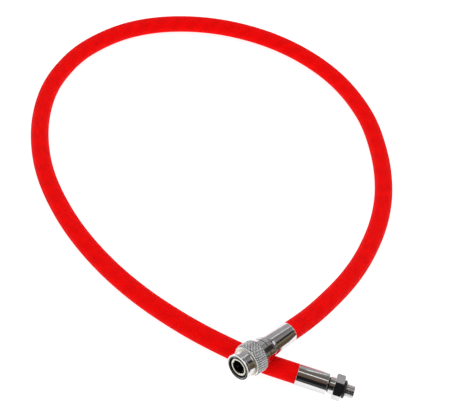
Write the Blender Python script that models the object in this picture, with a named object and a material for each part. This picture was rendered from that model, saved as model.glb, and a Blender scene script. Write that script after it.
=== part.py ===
"""Low-pressure inflator hose for a diver's buoyancy jacket.

A braided hose lies in one round loop. Its supply end screws into a regulator's low-pressure port,
and its coupling end is a quick-release socket: a sprung sleeve locks a ring of balls, and a small
sprung valve shuts off the gas until a nipple pushes its pin in.

Both fittings are modelled along their own +Z axis. Station 0 is the mouth where the hose goes in,
and stations grow towards the fitting's tip. Two empties then lay the fittings in the scene.
"""

import math

import bmesh
import bpy
from mathutils import Matrix, Vector
from mathutils.geometry import interpolate_bezier

MM = 0.001

# Hose
HOSE_RADIUS = 7.15 * MM
HOSE_BORE_RADIUS = 3.3 * MM
HOSE_END_GAP = 0.3 * MM
HOSE_LEAD = 12.0 * MM

# How the two fittings lie, with the floor at z = 0
COUPLING_MOUTH_X = -25.08 * MM
COUPLING_MOUTH_Y = 19.45 * MM
COUPLING_MOUTH_Z = 21.0 * MM
COUPLING_HEADING = math.radians(-87.4)
COUPLING_RISE = math.radians(9.2)
COUPLING_SPIN = math.radians(0.0)
SUPPLY_MOUTH_X = -1.64 * MM
SUPPLY_MOUTH_Y = 7.9 * MM
SUPPLY_HEADING = math.radians(31.5)
SUPPLY_SPIN = math.radians(12.0)

# Ferrules, the same at both ends
FERRULE_RADIUS = 7.6 * MM
FERRULE_LENGTH = 21.8 * MM
FERRULE_WALL = 0.9 * MM
FERRULE_FLANGE = 1.6 * MM
FERRULE_EDGE = 0.4 * MM
LOCK_GROOVE_RADIUS = 3.9 * MM

# Barbed tails inside the hose
TAIL_START = 1.2 * MM
TAIL_BORE_RADIUS = 1.8 * MM
BARB_PITCH = 4.0 * MM
BARB_DEPTH = 0.4 * MM
BARBS = 4

# Supply fitting
SUPPLY_NECK_RADIUS = 6.0 * MM
SUPPLY_NECK_LENGTH = 4.5 * MM
SUPPLY_HEX_LENGTH = 6.0 * MM
SUPPLY_HEX_ACROSS_FLATS = 15.9 * MM
HEX_CHAMFER = 0.9 * MM
THREAD_RADIUS = 4.75 * MM
THREAD_LENGTH = 6.1 * MM
THREAD_CHAMFER = 0.6 * MM
THREAD_RELIEF_DEPTH = 0.55 * MM
THREAD_RELIEF_SPARE = 0.14 * MM
PORT_BORE_RADIUS = 2.4 * MM
PORT_BORE_DEPTH = 9.0 * MM
PORT_O_RING_SECTION = 0.95 * MM

# Coupling body
COUPLING_GROOVE_RADIUS = 5.6 * MM
COUPLING_GROOVE_LENGTH = 1.6 * MM
COUPLING_HEX_LENGTH = 10.4 * MM
COUPLING_HEX_GROOVE_STATION = 4.1 * MM
COUPLING_HEX_GROOVE_DEPTH = 0.6 * MM
COUPLING_HEX_STEP = 1.2 * MM
GUIDE_STEP = 0.5 * MM
SOCKET_BORE_RADIUS = 4.8 * MM
SOCKET_DEPTH = 12.4 * MM
SOCKET_SETBACK = 0.9 * MM
SOCKET_LEAD = 0.4 * MM
BALL_SETBACK = 3.5 * MM
BALL_RADIUS = 1.2 * MM
BALL_REACH = 0.45 * MM
BALLS = 6
GUIDE_SETBACK = 6.0 * MM
O_RING_SETBACK = 8.2 * MM
SOCKET_O_RING_SECTION = 0.6 * MM

# Release sleeve
RIM_WALL = 1.9 * MM
RIM_LENGTH = 2.8 * MM
RIM_EDGE = 0.5 * MM
RIM_RAMP = 0.5 * MM
WAIST_WALL = 1.85 * MM
WAIST_LENGTH = 5.6 * MM
WAIST_CHAMFER = 0.3 * MM
KNURL_DEPTH = 0.45 * MM
KNURL_BED = 0.05 * MM
KNURL_MARGIN = 0.2 * MM
KNURL_END_DROP = 0.2 * MM
KNURL_ROOT_WALL = 0.5 * MM
KNURL_FRONT_CHAMFER = 0.4 * MM
KNURL_REAR_CHAMFER = 0.8 * MM
KNURL_COLUMNS = 40
KNURL_ROWS = 6
SLEEVE_SKIRT = 1.0 * MM
SLEEVE_TRAVEL = 3.0 * MM
SKIRT_CLEARANCE = 0.84 * MM
CHAMBER_WALL = 1.5 * MM
CHAMBER_END_WALL = 0.6 * MM

# Spring and retaining ring under the sleeve
SPRING_WIRE = 0.4 * MM
SPRING_TURNS = 4.0
SPRING_DEAD_TURNS = 1.2
SPRING_SPARE = 1.6 * MM
RING_THICKNESS = 0.7 * MM
RING_SETBACK = 1.0 * MM
RING_SEAT_DEPTH = 0.55 * MM
RING_REACH = 0.95 * MM
RING_GAP_ANGLE = math.radians(40.0)

# Shut-off valve in the coupling
CORE_RADIUS = 2.6 * MM
CORE_BORE_RADIUS = 1.4 * MM
CORE_THROAT_RADIUS = 0.85 * MM
CORE_LENGTH = 8.0 * MM
CORE_PROUD = 0.6 * MM
CORE_THROAT_LENGTH = 2.0 * MM
CORE_GROOVE_STATION = 2.6 * MM
CORE_CHAMFER = 0.3 * MM
GASKET_SECTION = 0.4 * MM
PIN_RADIUS = 0.5 * MM
PIN_PROUD = 0.9 * MM
PIN_TRAVEL = 1.2 * MM
PIN_HEAD_LENGTH = 0.8 * MM
PIN_CHAMFER = 0.2 * MM
POPPET_RADIUS = 2.0 * MM
POPPET_LENGTH = 1.0 * MM
POPPET_SPARE = 0.8 * MM
SEAL_LENGTH = 0.8 * MM
VALVE_WIRE = 0.16 * MM
VALVE_SPRING_TURNS = 5.0

# Clearances
SEAT_GAP = 0.2 * MM
SLIDE_GAP = 0.1 * MM

BALL_HOLE_GAP = 0.13 * MM
CUTTER_REACH = 1.0 * MM

# Facets round each kind of turned piece
BODY_FACETS = 32
SMALL_FACETS = 18
RING_FACETS = 28

# How a spring's wire winds: steps a turn, and the closed turns at each end
COIL_STEPS = 16
COIL_CLOSED_TURNS = 0.75
COIL_CLOSED_PITCH = 1.575

# Stations of the supply fitting
NECK_START = FERRULE_LENGTH + SEAT_GAP
SUPPLY_HEX_START = FERRULE_LENGTH + SUPPLY_NECK_LENGTH
SUPPLY_HEX_END = SUPPLY_HEX_START + SUPPLY_HEX_LENGTH
THREAD_START = SUPPLY_HEX_END + 2.0 * PORT_O_RING_SECTION + THREAD_RELIEF_SPARE
SUPPLY_TIP = THREAD_START + THREAD_LENGTH

# Stations of the coupling, from the hose to the rim
SPRING_ROOM = 2.0 * SPRING_WIRE * (SPRING_TURNS + SPRING_DEAD_TURNS) + SLEEVE_TRAVEL + SPRING_SPARE
COUPLING_HEX_START = FERRULE_LENGTH + COUPLING_GROOVE_LENGTH
COUPLING_HEX_END = COUPLING_HEX_START + COUPLING_HEX_LENGTH
SLEEVE_START = COUPLING_HEX_END - SLEEVE_SKIRT
CHAMBER_END = COUPLING_HEX_END + SPRING_ROOM
KNURL_END = CHAMBER_END + CHAMBER_END_WALL
WAIST_END = KNURL_END + WAIST_LENGTH
RIM_FACE = WAIST_END + RIM_LENGTH
SOCKET_FACE = RIM_FACE - SOCKET_SETBACK
SOCKET_FLOOR = SOCKET_FACE - SOCKET_DEPTH
BALL_STATION = SOCKET_FACE - BALL_SETBACK
GUIDE_END = SOCKET_FACE - GUIDE_SETBACK
O_RING_STATION = SOCKET_FACE - O_RING_SETBACK
RING_FRONT = SOCKET_FACE - RING_SETBACK
RING_BACK = RING_FRONT - RING_THICKNESS
LAND_FRONT = RING_BACK - SEAT_GAP

# Radii of the supply fitting and the hose's ends
SUPPLY_HEX_CORNER_RADIUS = SUPPLY_HEX_ACROSS_FLATS / math.sqrt(3.0)
THREAD_RELIEF_RADIUS = THREAD_RADIUS - THREAD_RELIEF_DEPTH
HOSE_END_RADIUS = FERRULE_RADIUS - FERRULE_WALL - SEAT_GAP
BARB_RADIUS = HOSE_BORE_RADIUS - SEAT_GAP

# Radii of the coupling, outwards from the bore that the nipple goes into
BALL_CIRCLE_RADIUS = SOCKET_BORE_RADIUS - BALL_REACH + BALL_RADIUS
GUIDE_RADIUS = BALL_CIRCLE_RADIUS + BALL_RADIUS
SOCKET_RADIUS = GUIDE_RADIUS - GUIDE_STEP
COUPLING_HEX_ACROSS_FLATS = 2.0 * (GUIDE_RADIUS + COUPLING_HEX_STEP)
COUPLING_HEX_CORNER_RADIUS = COUPLING_HEX_ACROSS_FLATS / math.sqrt(3.0)
LAND_RADIUS = GUIDE_RADIUS + SLIDE_GAP
WAIST_RADIUS = LAND_RADIUS + WAIST_WALL
RING_INNER_RADIUS = SOCKET_RADIUS - RING_SEAT_DEPTH + SLIDE_GAP
RING_OUTER_RADIUS = SOCKET_RADIUS + RING_REACH
RECESS_RADIUS = RING_OUTER_RADIUS + SEAT_GAP
RIM_RADIUS = RECESS_RADIUS + RIM_WALL
CHAMBER_RADIUS = COUPLING_HEX_CORNER_RADIUS + SKIRT_CLEARANCE
KNURL_RADIUS = CHAMBER_RADIUS + CHAMBER_WALL
SPRING_RADIUS = (GUIDE_RADIUS + CHAMBER_RADIUS) / 2.0

# Radii and depths of the shut-off valve
CORE_HOLE_RADIUS = CORE_RADIUS + SEAT_GAP
CORE_TIP = SOCKET_FLOOR + CORE_PROUD
CORE_BACK = CORE_TIP - CORE_LENGTH
CORE_HOLE_DEPTH = CORE_LENGTH - CORE_PROUD + SEAL_LENGTH + POPPET_LENGTH + PIN_TRAVEL + POPPET_SPARE
VALVE_SPRING_RADIUS = (CORE_BORE_RADIUS + PIN_RADIUS) / 2.0
PIN_HEAD_RADIUS = CORE_BORE_RADIUS - SLIDE_GAP

# Points that the hose lies through between its two leads, in millimetres, read from the photograph
ROUTE = [
    (-28.2, 59.4, 15.8),
    (-34.7, 93.4, 12.0),
    (-45.2, 124.9, 9.3),
    (-61.7, 157.9, 7.7),
    (-83.7, 186.9, 7.2),
    (-113.7, 213.4, 7.15),
    (-150.7, 235.4, 7.15),
    (-194.2, 246.9, 7.15),
    (-237.2, 244.9, 7.15),
    (-277.7, 230.9, 7.15),
    (-314.2, 204.9, 7.15),
    (-341.2, 169.9, 7.15),
    (-355.2, 130.9, 7.15),
    (-355.2, 88.4, 7.15),
    (-343.2, 52.9, 7.15),
    (-323.7, 23.9, 7.15),
    (-293.2, -3.1, 7.15),
    (-254.7, -24.1, 7.15),
    (-210.2, -36.6, 7.15),
    (-165.7, -40.6, 7.15),
    (-121.7, -37.1, 7.15),
    (-78.2, -26.6, 7.15),
    (-39.1, -11.7, 7.3),
]
ROUTE_STEPS = 2


def clear_scene():
    """Remove every object that the new scene starts with."""
    for thing in list(bpy.data.objects):
        bpy.data.objects.remove(thing, do_unlink=True)


def material(name, colour, roughness, metallic):
    """Make one plain material."""
    made = bpy.data.materials.new(name)
    made.use_nodes = True
    surface = made.node_tree.nodes["Principled BSDF"]
    surface.inputs["Base Color"].default_value = (*colour, 1.0)
    surface.inputs["Roughness"].default_value = roughness
    surface.inputs["Metallic"].default_value = metallic
    return made


def add_object(name, data, finish, parent=None):
    """Link new object data into the scene under its fitting's empty."""
    made = bpy.data.objects.new(name, data)
    bpy.context.scene.collection.objects.link(made)
    data.materials.append(finish)
    made.parent = parent
    return made


def add_mesh(name, bm, finish, parent=None):
    """Turn a finished bmesh into a smooth-shaded object."""
    bmesh.ops.recalc_face_normals(bm, faces=bm.faces)
    mesh = bpy.data.meshes.new(name)
    bm.to_mesh(mesh)
    bm.free()
    mesh.shade_smooth()
    mesh.set_sharp_from_angle(angle=math.radians(35.0))
    return add_object(name, mesh, finish, parent)


def turned(profile, facets, sweep=math.tau, spin=0.0):
    """Turn a closed outline of (radius, station) points about the fitting's axis."""
    bm = bmesh.new()
    corners = [bm.verts.new((radius, 0.0, station)) for radius, station in profile]
    edges = [bm.edges.new(pair) for pair in zip(corners, corners[1:] + corners[:1])]
    whole = math.isclose(sweep, math.tau)
    if not whole:
        bm.faces.new(corners)
    bmesh.ops.rotate(bm, verts=bm.verts, matrix=Matrix.Rotation(spin, 3, "Z"))
    swept = bmesh.ops.spin(
        bm,
        geom=edges + corners,
        cent=(0, 0, 0),
        axis=(0, 0, 1),
        angle=sweep,
        steps=facets,
        use_merge=whole,
    )
    if not whole:
        last = [item for item in swept["geom_last"] if isinstance(item, bmesh.types.BMEdge)]
        bmesh.ops.contextual_create(bm, geom=last)
    bmesh.ops.remove_doubles(bm, verts=bm.verts, dist=1e-7)
    return bm


def round_section(centre_radius, station, section, sides=8):
    """Outline of a round ring, such as a sealing ring."""
    turns = [math.tau * (step + 0.5) / sides for step in range(sides)]
    return [(centre_radius + section * math.cos(t), station + section * math.sin(t)) for t in turns]


def coil(name, radius, wire, low, high, turns, finish, parent):
    """Compression spring between two stations, its end turns closed up and flat."""
    steps = int(COIL_STEPS * turns)
    points = []
    for step in range(steps + 1):
        share = step / steps
        angle = math.tau * turns * share
        active = turns - 2.0 * COIL_CLOSED_TURNS
        eased = min(max((share * turns - COIL_CLOSED_TURNS) / active, 0.0), 1.0)
        lift = eased * eased * (3.0 - 2.0 * eased)
        closed = COIL_CLOSED_PITCH * wire * (share - lift)
        station = low + wire + (high - low - 2.0 * wire) * lift + max(closed, 0.0)
        points.append((radius * math.cos(angle), radius * math.sin(angle), station))
    curve = bpy.data.curves.new(name, "CURVE")
    curve.dimensions = "3D"
    curve.bevel_depth = wire
    curve.bevel_resolution = 1
    curve.use_fill_caps = True
    spline = curve.splines.new("POLY")
    spline.points.add(len(points) - 1)
    for point, place in zip(spline.points, points):
        point.co = (*place, 1.0)
    return add_object(name, curve, finish, parent)


def cutter(name, bm, parent):
    """Helper solid that a Boolean uses and that is left out of the object."""
    mesh = bpy.data.meshes.new(name)
    bmesh.ops.recalc_face_normals(bm, faces=bm.faces)
    bm.to_mesh(mesh)
    bm.free()
    made = bpy.data.objects.new(name, mesh)
    bpy.context.scene.collection.objects.link(made)
    made.parent = parent
    made.hide_render = True
    made.display_type = "WIRE"
    return made


def boolean(target, helper, operation):
    """Cut or join a helper solid on its target."""
    step = target.modifiers.new(helper.name, "BOOLEAN")
    step.operation = operation
    step.solver = "EXACT"
    step.object = helper


def fitting_empty(name, mouth, heading, rise):
    """Empty at a ferrule's mouth whose +Z runs along the fitting to its tip, with +X level."""
    level = Vector((math.cos(heading), math.sin(heading), 0.0))
    along = level * math.cos(rise) + Vector((0.0, 0.0, math.sin(rise)))
    across = Vector((-math.sin(heading), math.cos(heading), 0.0))
    above = along.cross(across)
    empty = bpy.data.objects.new(name, None)
    bpy.context.scene.collection.objects.link(empty)
    turn = Matrix((across, above, along)).transposed().to_4x4()
    empty.matrix_world = Matrix.Translation(mouth) @ turn
    return empty


def hex_prism(corner_radius, low, high, spin):
    """Prism with six flats, a flat's normal turned by spin from the level direction."""
    bm = bmesh.new()
    bmesh.ops.create_cone(
        bm,
        cap_ends=True,
        segments=6,
        radius1=corner_radius,
        radius2=corner_radius,
        depth=high - low,
    )
    place = Matrix.Translation((0, 0, (low + high) / 2.0)) @ Matrix.Rotation(spin, 4, "Z")
    bmesh.ops.transform(bm, verts=bm.verts, matrix=place)
    return bm


def barbed_tail():
    """Outer outline of a hose tail, from its open end to the ferrule's locking groove."""
    outline = [(TAIL_BORE_RADIUS, TAIL_START)]
    for barb in range(BARBS):
        start = TAIL_START + barb * BARB_PITCH
        outline.append((BARB_RADIUS - BARB_DEPTH, start))
        outline.append((BARB_RADIUS, start + BARB_PITCH * 0.8))
    groove_start = FERRULE_LENGTH - FERRULE_FLANGE - 2.0 * SEAT_GAP
    outline.append((BARB_RADIUS, groove_start))
    outline.append((LOCK_GROOVE_RADIUS, groove_start))
    outline.append((LOCK_GROOVE_RADIUS, NECK_START))
    return outline


def build_hose_end(name, finish, parent):
    """The stretch of hose that is crimped between the ferrule and the barbed tail."""
    front = FERRULE_LENGTH - FERRULE_FLANGE - 2.0 * SEAT_GAP - SEAT_GAP
    outline = [
        (HOSE_BORE_RADIUS, 0.0),
        (HOSE_END_RADIUS, 0.0),
        (HOSE_END_RADIUS, front),
        (HOSE_BORE_RADIUS, front),
    ]
    add_mesh(name, turned(outline, BODY_FACETS), finish, parent)


def build_ferrule(name, finish, parent):
    """Crimped sleeve over the hose, its front flange closed into the tail's locking groove."""
    bore = FERRULE_RADIUS - FERRULE_WALL
    flange_back = FERRULE_LENGTH - FERRULE_FLANGE
    flange_bore = LOCK_GROOVE_RADIUS + SEAT_GAP
    outline = [
        (bore, 0.0),
        (FERRULE_RADIUS - FERRULE_EDGE, 0.0),
        (FERRULE_RADIUS, FERRULE_EDGE),
        (FERRULE_RADIUS, FERRULE_LENGTH - FERRULE_EDGE),
        (FERRULE_RADIUS - FERRULE_EDGE, FERRULE_LENGTH),
        (flange_bore, FERRULE_LENGTH),
        (flange_bore, flange_back),
        (bore, flange_back),
    ]
    add_mesh(name, turned(outline, BODY_FACETS), finish, parent)


def build_supply_end(finishes, parent):
    """Hex fitting that screws into the regulator, with its sealing ring and ferrule."""
    build_ferrule("supply_ferrule", finishes["plate"], parent)
    build_hose_end("supply_hose_end", finishes["rubber"], parent)
    corner = SUPPLY_HEX_CORNER_RADIUS
    hex_top = corner - HEX_CHAMFER
    bore_floor = SUPPLY_TIP - PORT_BORE_DEPTH
    outline = barbed_tail() + [
        (SUPPLY_NECK_RADIUS, NECK_START),
        (SUPPLY_NECK_RADIUS, SUPPLY_HEX_START),
        (hex_top, SUPPLY_HEX_START),
        (corner, SUPPLY_HEX_START + HEX_CHAMFER / 2.0),
        (corner, SUPPLY_HEX_END - HEX_CHAMFER / 2.0),
        (hex_top, SUPPLY_HEX_END),
        (THREAD_RELIEF_RADIUS, SUPPLY_HEX_END),
        (THREAD_RELIEF_RADIUS, THREAD_START),
        (THREAD_RADIUS, THREAD_START + THREAD_RELIEF_DEPTH),
        (THREAD_RADIUS, SUPPLY_TIP - THREAD_CHAMFER),
        (THREAD_RADIUS - THREAD_CHAMFER, SUPPLY_TIP),
        (PORT_BORE_RADIUS, SUPPLY_TIP),
        (PORT_BORE_RADIUS, bore_floor),
        (TAIL_BORE_RADIUS, bore_floor - (PORT_BORE_RADIUS - TAIL_BORE_RADIUS)),
    ]
    fitting = add_mesh("supply_fitting", turned(outline, BODY_FACETS), finishes["plate"], parent)
    prism = hex_prism(corner, -CUTTER_REACH, SUPPLY_TIP + CUTTER_REACH, SUPPLY_SPIN)
    boolean(fitting, cutter("supply_hex_flats", prism, parent), "INTERSECT")
    ring_radius = THREAD_RELIEF_RADIUS + SEAT_GAP + PORT_O_RING_SECTION
    ring_station = SUPPLY_HEX_END + SEAT_GAP + PORT_O_RING_SECTION
    ring = round_section(ring_radius, ring_station, PORT_O_RING_SECTION)
    add_mesh("supply_o_ring", turned(ring, RING_FACETS), finishes["seal"], parent)


def ball_holes():
    """Six tapered holes through the socket's wall, too narrow at the bore for a ball to fall in."""
    bm = bmesh.new()
    rise = BALL_CIRCLE_RADIUS - SOCKET_BORE_RADIUS
    bore_radius = math.sqrt(BALL_RADIUS**2 - rise**2) + BALL_HOLE_GAP
    taper = (BALL_RADIUS + BALL_HOLE_GAP - bore_radius) / rise
    low = SOCKET_BORE_RADIUS - CUTTER_REACH
    high = GUIDE_RADIUS + CUTTER_REACH
    level = Matrix.Rotation(math.radians(90.0), 4, "Y")
    place = Matrix.Translation(((low + high) / 2.0, 0, BALL_STATION)) @ level
    for ball in range(BALLS):
        shape = bmesh.ops.create_cone(
            bm,
            cap_ends=True,
            segments=SMALL_FACETS,
            radius1=bore_radius + taper * (low - SOCKET_BORE_RADIUS),
            radius2=bore_radius + taper * (high - SOCKET_BORE_RADIUS),
            depth=high - low,
        )
        turn = Matrix.Rotation(math.tau * ball / BALLS, 4, "Z")
        bmesh.ops.transform(bm, verts=shape["verts"], matrix=turn @ place)
    return bm


def build_coupling_body(finishes, parent):
    """Turned body: barbed tail, spanner hex, sleeve guide and the socket for the nipple."""
    corner = COUPLING_HEX_CORNER_RADIUS
    hex_top = corner - HEX_CHAMFER
    groove = COUPLING_HEX_START + COUPLING_HEX_GROOVE_STATION
    groove_floor = COUPLING_HEX_ACROSS_FLATS / 2.0 - COUPLING_HEX_GROOVE_DEPTH
    groove_half = COUPLING_HEX_GROOVE_DEPTH / 2.0
    seat_radius = SOCKET_RADIUS - RING_SEAT_DEPTH
    o_ring_groove_radius = SOCKET_BORE_RADIUS + 2.0 * SOCKET_O_RING_SECTION - SLIDE_GAP
    o_ring_half = SOCKET_O_RING_SECTION + SEAT_GAP
    hole_floor = SOCKET_FLOOR - CORE_HOLE_DEPTH
    outline = barbed_tail() + [
        (COUPLING_GROOVE_RADIUS, NECK_START),
        (COUPLING_GROOVE_RADIUS, COUPLING_HEX_START),
        (hex_top, COUPLING_HEX_START),
        (corner, COUPLING_HEX_START + HEX_CHAMFER / 2.0),
        (corner, groove - groove_half),
        (groove_floor, groove - groove_half),
        (groove_floor, groove + groove_half),
        (corner, groove + groove_half),
        (corner, COUPLING_HEX_END - HEX_CHAMFER / 2.0),
        (hex_top, COUPLING_HEX_END),
        (GUIDE_RADIUS, COUPLING_HEX_END),
        (GUIDE_RADIUS, GUIDE_END - (GUIDE_RADIUS - SOCKET_RADIUS)),
        (SOCKET_RADIUS, GUIDE_END),
        (SOCKET_RADIUS, RING_BACK - SLIDE_GAP),
        (seat_radius, RING_BACK - SLIDE_GAP),
        (seat_radius, RING_FRONT + SLIDE_GAP),
        (SOCKET_RADIUS, RING_FRONT + SLIDE_GAP),
        (SOCKET_RADIUS, SOCKET_FACE),
        (SOCKET_BORE_RADIUS + SOCKET_LEAD, SOCKET_FACE),
        (SOCKET_BORE_RADIUS, SOCKET_FACE - SOCKET_LEAD),
        (SOCKET_BORE_RADIUS, O_RING_STATION + o_ring_half),
        (o_ring_groove_radius, O_RING_STATION + o_ring_half),
        (o_ring_groove_radius, O_RING_STATION - o_ring_half),
        (SOCKET_BORE_RADIUS, O_RING_STATION - o_ring_half),
        (SOCKET_BORE_RADIUS, SOCKET_FLOOR),
        (CORE_HOLE_RADIUS, SOCKET_FLOOR),
        (CORE_HOLE_RADIUS, hole_floor),
        (TAIL_BORE_RADIUS, hole_floor),
    ]
    body = add_mesh("coupling_body", turned(outline, BODY_FACETS), finishes["plate"], parent)
    prism = hex_prism(corner, -CUTTER_REACH, RIM_FACE, COUPLING_SPIN)
    boolean(body, cutter("coupling_hex_flats", prism, parent), "INTERSECT")
    boolean(body, cutter("ball_hole_cutter", ball_holes(), parent), "DIFFERENCE")


def knurl_band(low, high):
    """Tube whose outer face is a lattice of raised diamonds, its last rows sunk into the sleeve."""
    crest = KNURL_RADIUS
    root = KNURL_RADIUS - KNURL_DEPTH
    inner = root - KNURL_ROOT_WALL
    end_radius = root - KNURL_END_DROP
    columns = 2 * KNURL_COLUMNS
    rows = 2 * KNURL_ROWS
    bm = bmesh.new()
    grid = []
    for row in range(rows + 1):
        station = low + (high - low) * row / rows
        ring = []
        for column in range(columns):
            angle = math.tau * column / columns
            radius = crest if (row + column) % 2 == 0 else root
            if row in (0, rows):
                radius = end_radius
            ring.append(bm.verts.new((radius * math.cos(angle), radius * math.sin(angle), station)))
        grid.append(ring)
    for row in range(rows):
        for column in range(columns):
            after = (column + 1) % columns
            a, b = grid[row][column], grid[row][after]
            c, d = grid[row + 1][after], grid[row + 1][column]
            if (row + column) % 2 == 0:
                bm.faces.new((a, b, d))
                bm.faces.new((b, c, d))
            else:
                bm.faces.new((a, b, c))
                bm.faces.new((a, c, d))
    walls = []
    turns = [math.tau * column / columns for column in range(columns)]
    for station in (low, high):
        walls.append([bm.verts.new((inner * math.cos(t), inner * math.sin(t), station)) for t in turns])
    for column in range(columns):
        after = (column + 1) % columns
        for wall, ring in zip(walls, (grid[0], grid[-1])):
            bm.faces.new((wall[column], wall[after], ring[after], ring[column]))
        bm.faces.new((walls[0][column], walls[0][after], walls[1][after], walls[1][column]))
    return bm


def build_sleeve(finishes, parent):
    """Release sleeve: rolled rim, waist, knurled grip and the chamber for its spring."""
    core_radius = KNURL_RADIUS - KNURL_DEPTH - KNURL_BED
    rim_round = (RIM_RADIUS - RECESS_RADIUS) / 2.0
    front = KNURL_END - KNURL_FRONT_CHAMFER
    rear = SLEEVE_START + KNURL_REAR_CHAMFER
    outline = [
        (CHAMBER_RADIUS, SLEEVE_START),
        (core_radius - KNURL_REAR_CHAMFER, SLEEVE_START),
        (core_radius, rear),
        (core_radius, front),
        (core_radius - KNURL_FRONT_CHAMFER, KNURL_END),
        (WAIST_RADIUS, KNURL_END + WAIST_CHAMFER),
        (WAIST_RADIUS, WAIST_END - WAIST_CHAMFER),
        (RIM_RADIUS - RIM_EDGE, WAIST_END),
        (RIM_RADIUS, WAIST_END + RIM_RAMP),
        (RIM_RADIUS, RIM_FACE - rim_round),
        (RIM_RADIUS - 0.3 * rim_round, RIM_FACE - 0.3 * rim_round),
        (RIM_RADIUS - rim_round, RIM_FACE),
        (RECESS_RADIUS, RIM_FACE - rim_round),
        (RECESS_RADIUS, LAND_FRONT),
        (LAND_RADIUS, LAND_FRONT),
        (LAND_RADIUS, CHAMBER_END),
        (CHAMBER_RADIUS, CHAMBER_END),
    ]
    sleeve = add_mesh("coupling_sleeve", turned(outline, BODY_FACETS), finishes["plate"], parent)
    band = knurl_band(rear + KNURL_MARGIN, front - KNURL_MARGIN)
    boolean(sleeve, cutter("knurl_band", band, parent), "UNION")


def build_lock(finishes, parent):
    """Lock balls, retaining ring, sleeve spring and the socket's sealing ring."""
    for ball in range(BALLS):
        bm = bmesh.new()
        bmesh.ops.create_icosphere(bm, subdivisions=2, radius=BALL_RADIUS)
        angle = math.tau * ball / BALLS
        made = add_mesh(f"lock_ball_{ball + 1}", bm, finishes["steel"], parent)
        across = Vector((math.cos(angle), math.sin(angle), 0.0)) * BALL_CIRCLE_RADIUS
        made.location = across + Vector((0.0, 0.0, BALL_STATION))
    ring = [
        (RING_INNER_RADIUS, RING_BACK),
        (RING_OUTER_RADIUS, RING_BACK),
        (RING_OUTER_RADIUS, RING_FRONT),
        (RING_INNER_RADIUS, RING_FRONT),
    ]
    sweep = math.tau - RING_GAP_ANGLE
    add_mesh("retaining_ring", turned(ring, RING_FACETS, sweep), finishes["steel"], parent)
    coil(
        "sleeve_spring",
        SPRING_RADIUS,
        SPRING_WIRE,
        COUPLING_HEX_END + SEAT_GAP,
        CHAMBER_END - SEAT_GAP,
        SPRING_TURNS,
        finishes["steel"],
        parent,
    )
    seal_radius = SOCKET_BORE_RADIUS - 2.0 * SLIDE_GAP + SOCKET_O_RING_SECTION
    seal = round_section(seal_radius, O_RING_STATION, SOCKET_O_RING_SECTION)
    add_mesh("socket_o_ring", turned(seal, RING_FACETS), finishes["seal"], parent)


def build_valve(finishes, parent):
    """Screw-in valve core with its gasket, sprung pin and sealing washer."""
    throat_end = CORE_BACK + CORE_THROAT_LENGTH
    gasket_station = CORE_BACK + CORE_GROOVE_STATION
    groove_half = GASKET_SECTION + SLIDE_GAP
    groove_floor = CORE_HOLE_RADIUS - 2.0 * GASKET_SECTION - 2.0 * SLIDE_GAP
    core = [
        (CORE_THROAT_RADIUS, CORE_BACK),
        (CORE_RADIUS, CORE_BACK),
        (CORE_RADIUS, gasket_station - groove_half),
        (groove_floor, gasket_station - groove_half),
        (groove_floor, gasket_station + groove_half),
        (CORE_RADIUS, gasket_station + groove_half),
        (CORE_RADIUS, CORE_TIP - CORE_CHAMFER),
        (CORE_RADIUS - CORE_CHAMFER, CORE_TIP),
        (CORE_BORE_RADIUS, CORE_TIP),
        (CORE_BORE_RADIUS, throat_end),
        (CORE_THROAT_RADIUS, throat_end),
    ]
    add_mesh("valve_core", turned(core, SMALL_FACETS), finishes["brass"], parent)
    gasket_radius = CORE_HOLE_RADIUS - SLIDE_GAP - GASKET_SECTION
    gasket = round_section(gasket_radius, gasket_station, GASKET_SECTION, sides=6)
    add_mesh("valve_gasket", turned(gasket, SMALL_FACETS), finishes["seal"], parent)
    poppet_front = CORE_BACK - SEAT_GAP - SEAL_LENGTH - SEAT_GAP
    head_back = CORE_TIP - PIN_HEAD_LENGTH
    pin_tip = CORE_TIP + PIN_PROUD
    pin = [
        (0.0, poppet_front - POPPET_LENGTH),
        (POPPET_RADIUS, poppet_front - POPPET_LENGTH),
        (POPPET_RADIUS, poppet_front),
        (PIN_RADIUS, poppet_front),
        (PIN_RADIUS, head_back),
        (PIN_HEAD_RADIUS, head_back),
        (PIN_HEAD_RADIUS, CORE_TIP),
        (PIN_RADIUS, CORE_TIP),
        (PIN_RADIUS, pin_tip - PIN_CHAMFER),
        (PIN_RADIUS - PIN_CHAMFER, pin_tip),
        (0.0, pin_tip),
    ]
    add_mesh("valve_pin", turned(pin, SMALL_FACETS), finishes["brass"], parent)
    seal = [
        (PIN_RADIUS + SLIDE_GAP, poppet_front + SEAT_GAP),
        (POPPET_RADIUS, poppet_front + SEAT_GAP),
        (POPPET_RADIUS, CORE_BACK - SEAT_GAP),
        (PIN_RADIUS + SLIDE_GAP, CORE_BACK - SEAT_GAP),
    ]
    add_mesh("valve_seal", turned(seal, SMALL_FACETS), finishes["seal"], parent)
    coil(
        "valve_spring",
        VALVE_SPRING_RADIUS,
        VALVE_WIRE,
        throat_end + SLIDE_GAP,
        head_back - SLIDE_GAP,
        VALVE_SPRING_TURNS,
        finishes["steel"],
        parent,
    )


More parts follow.
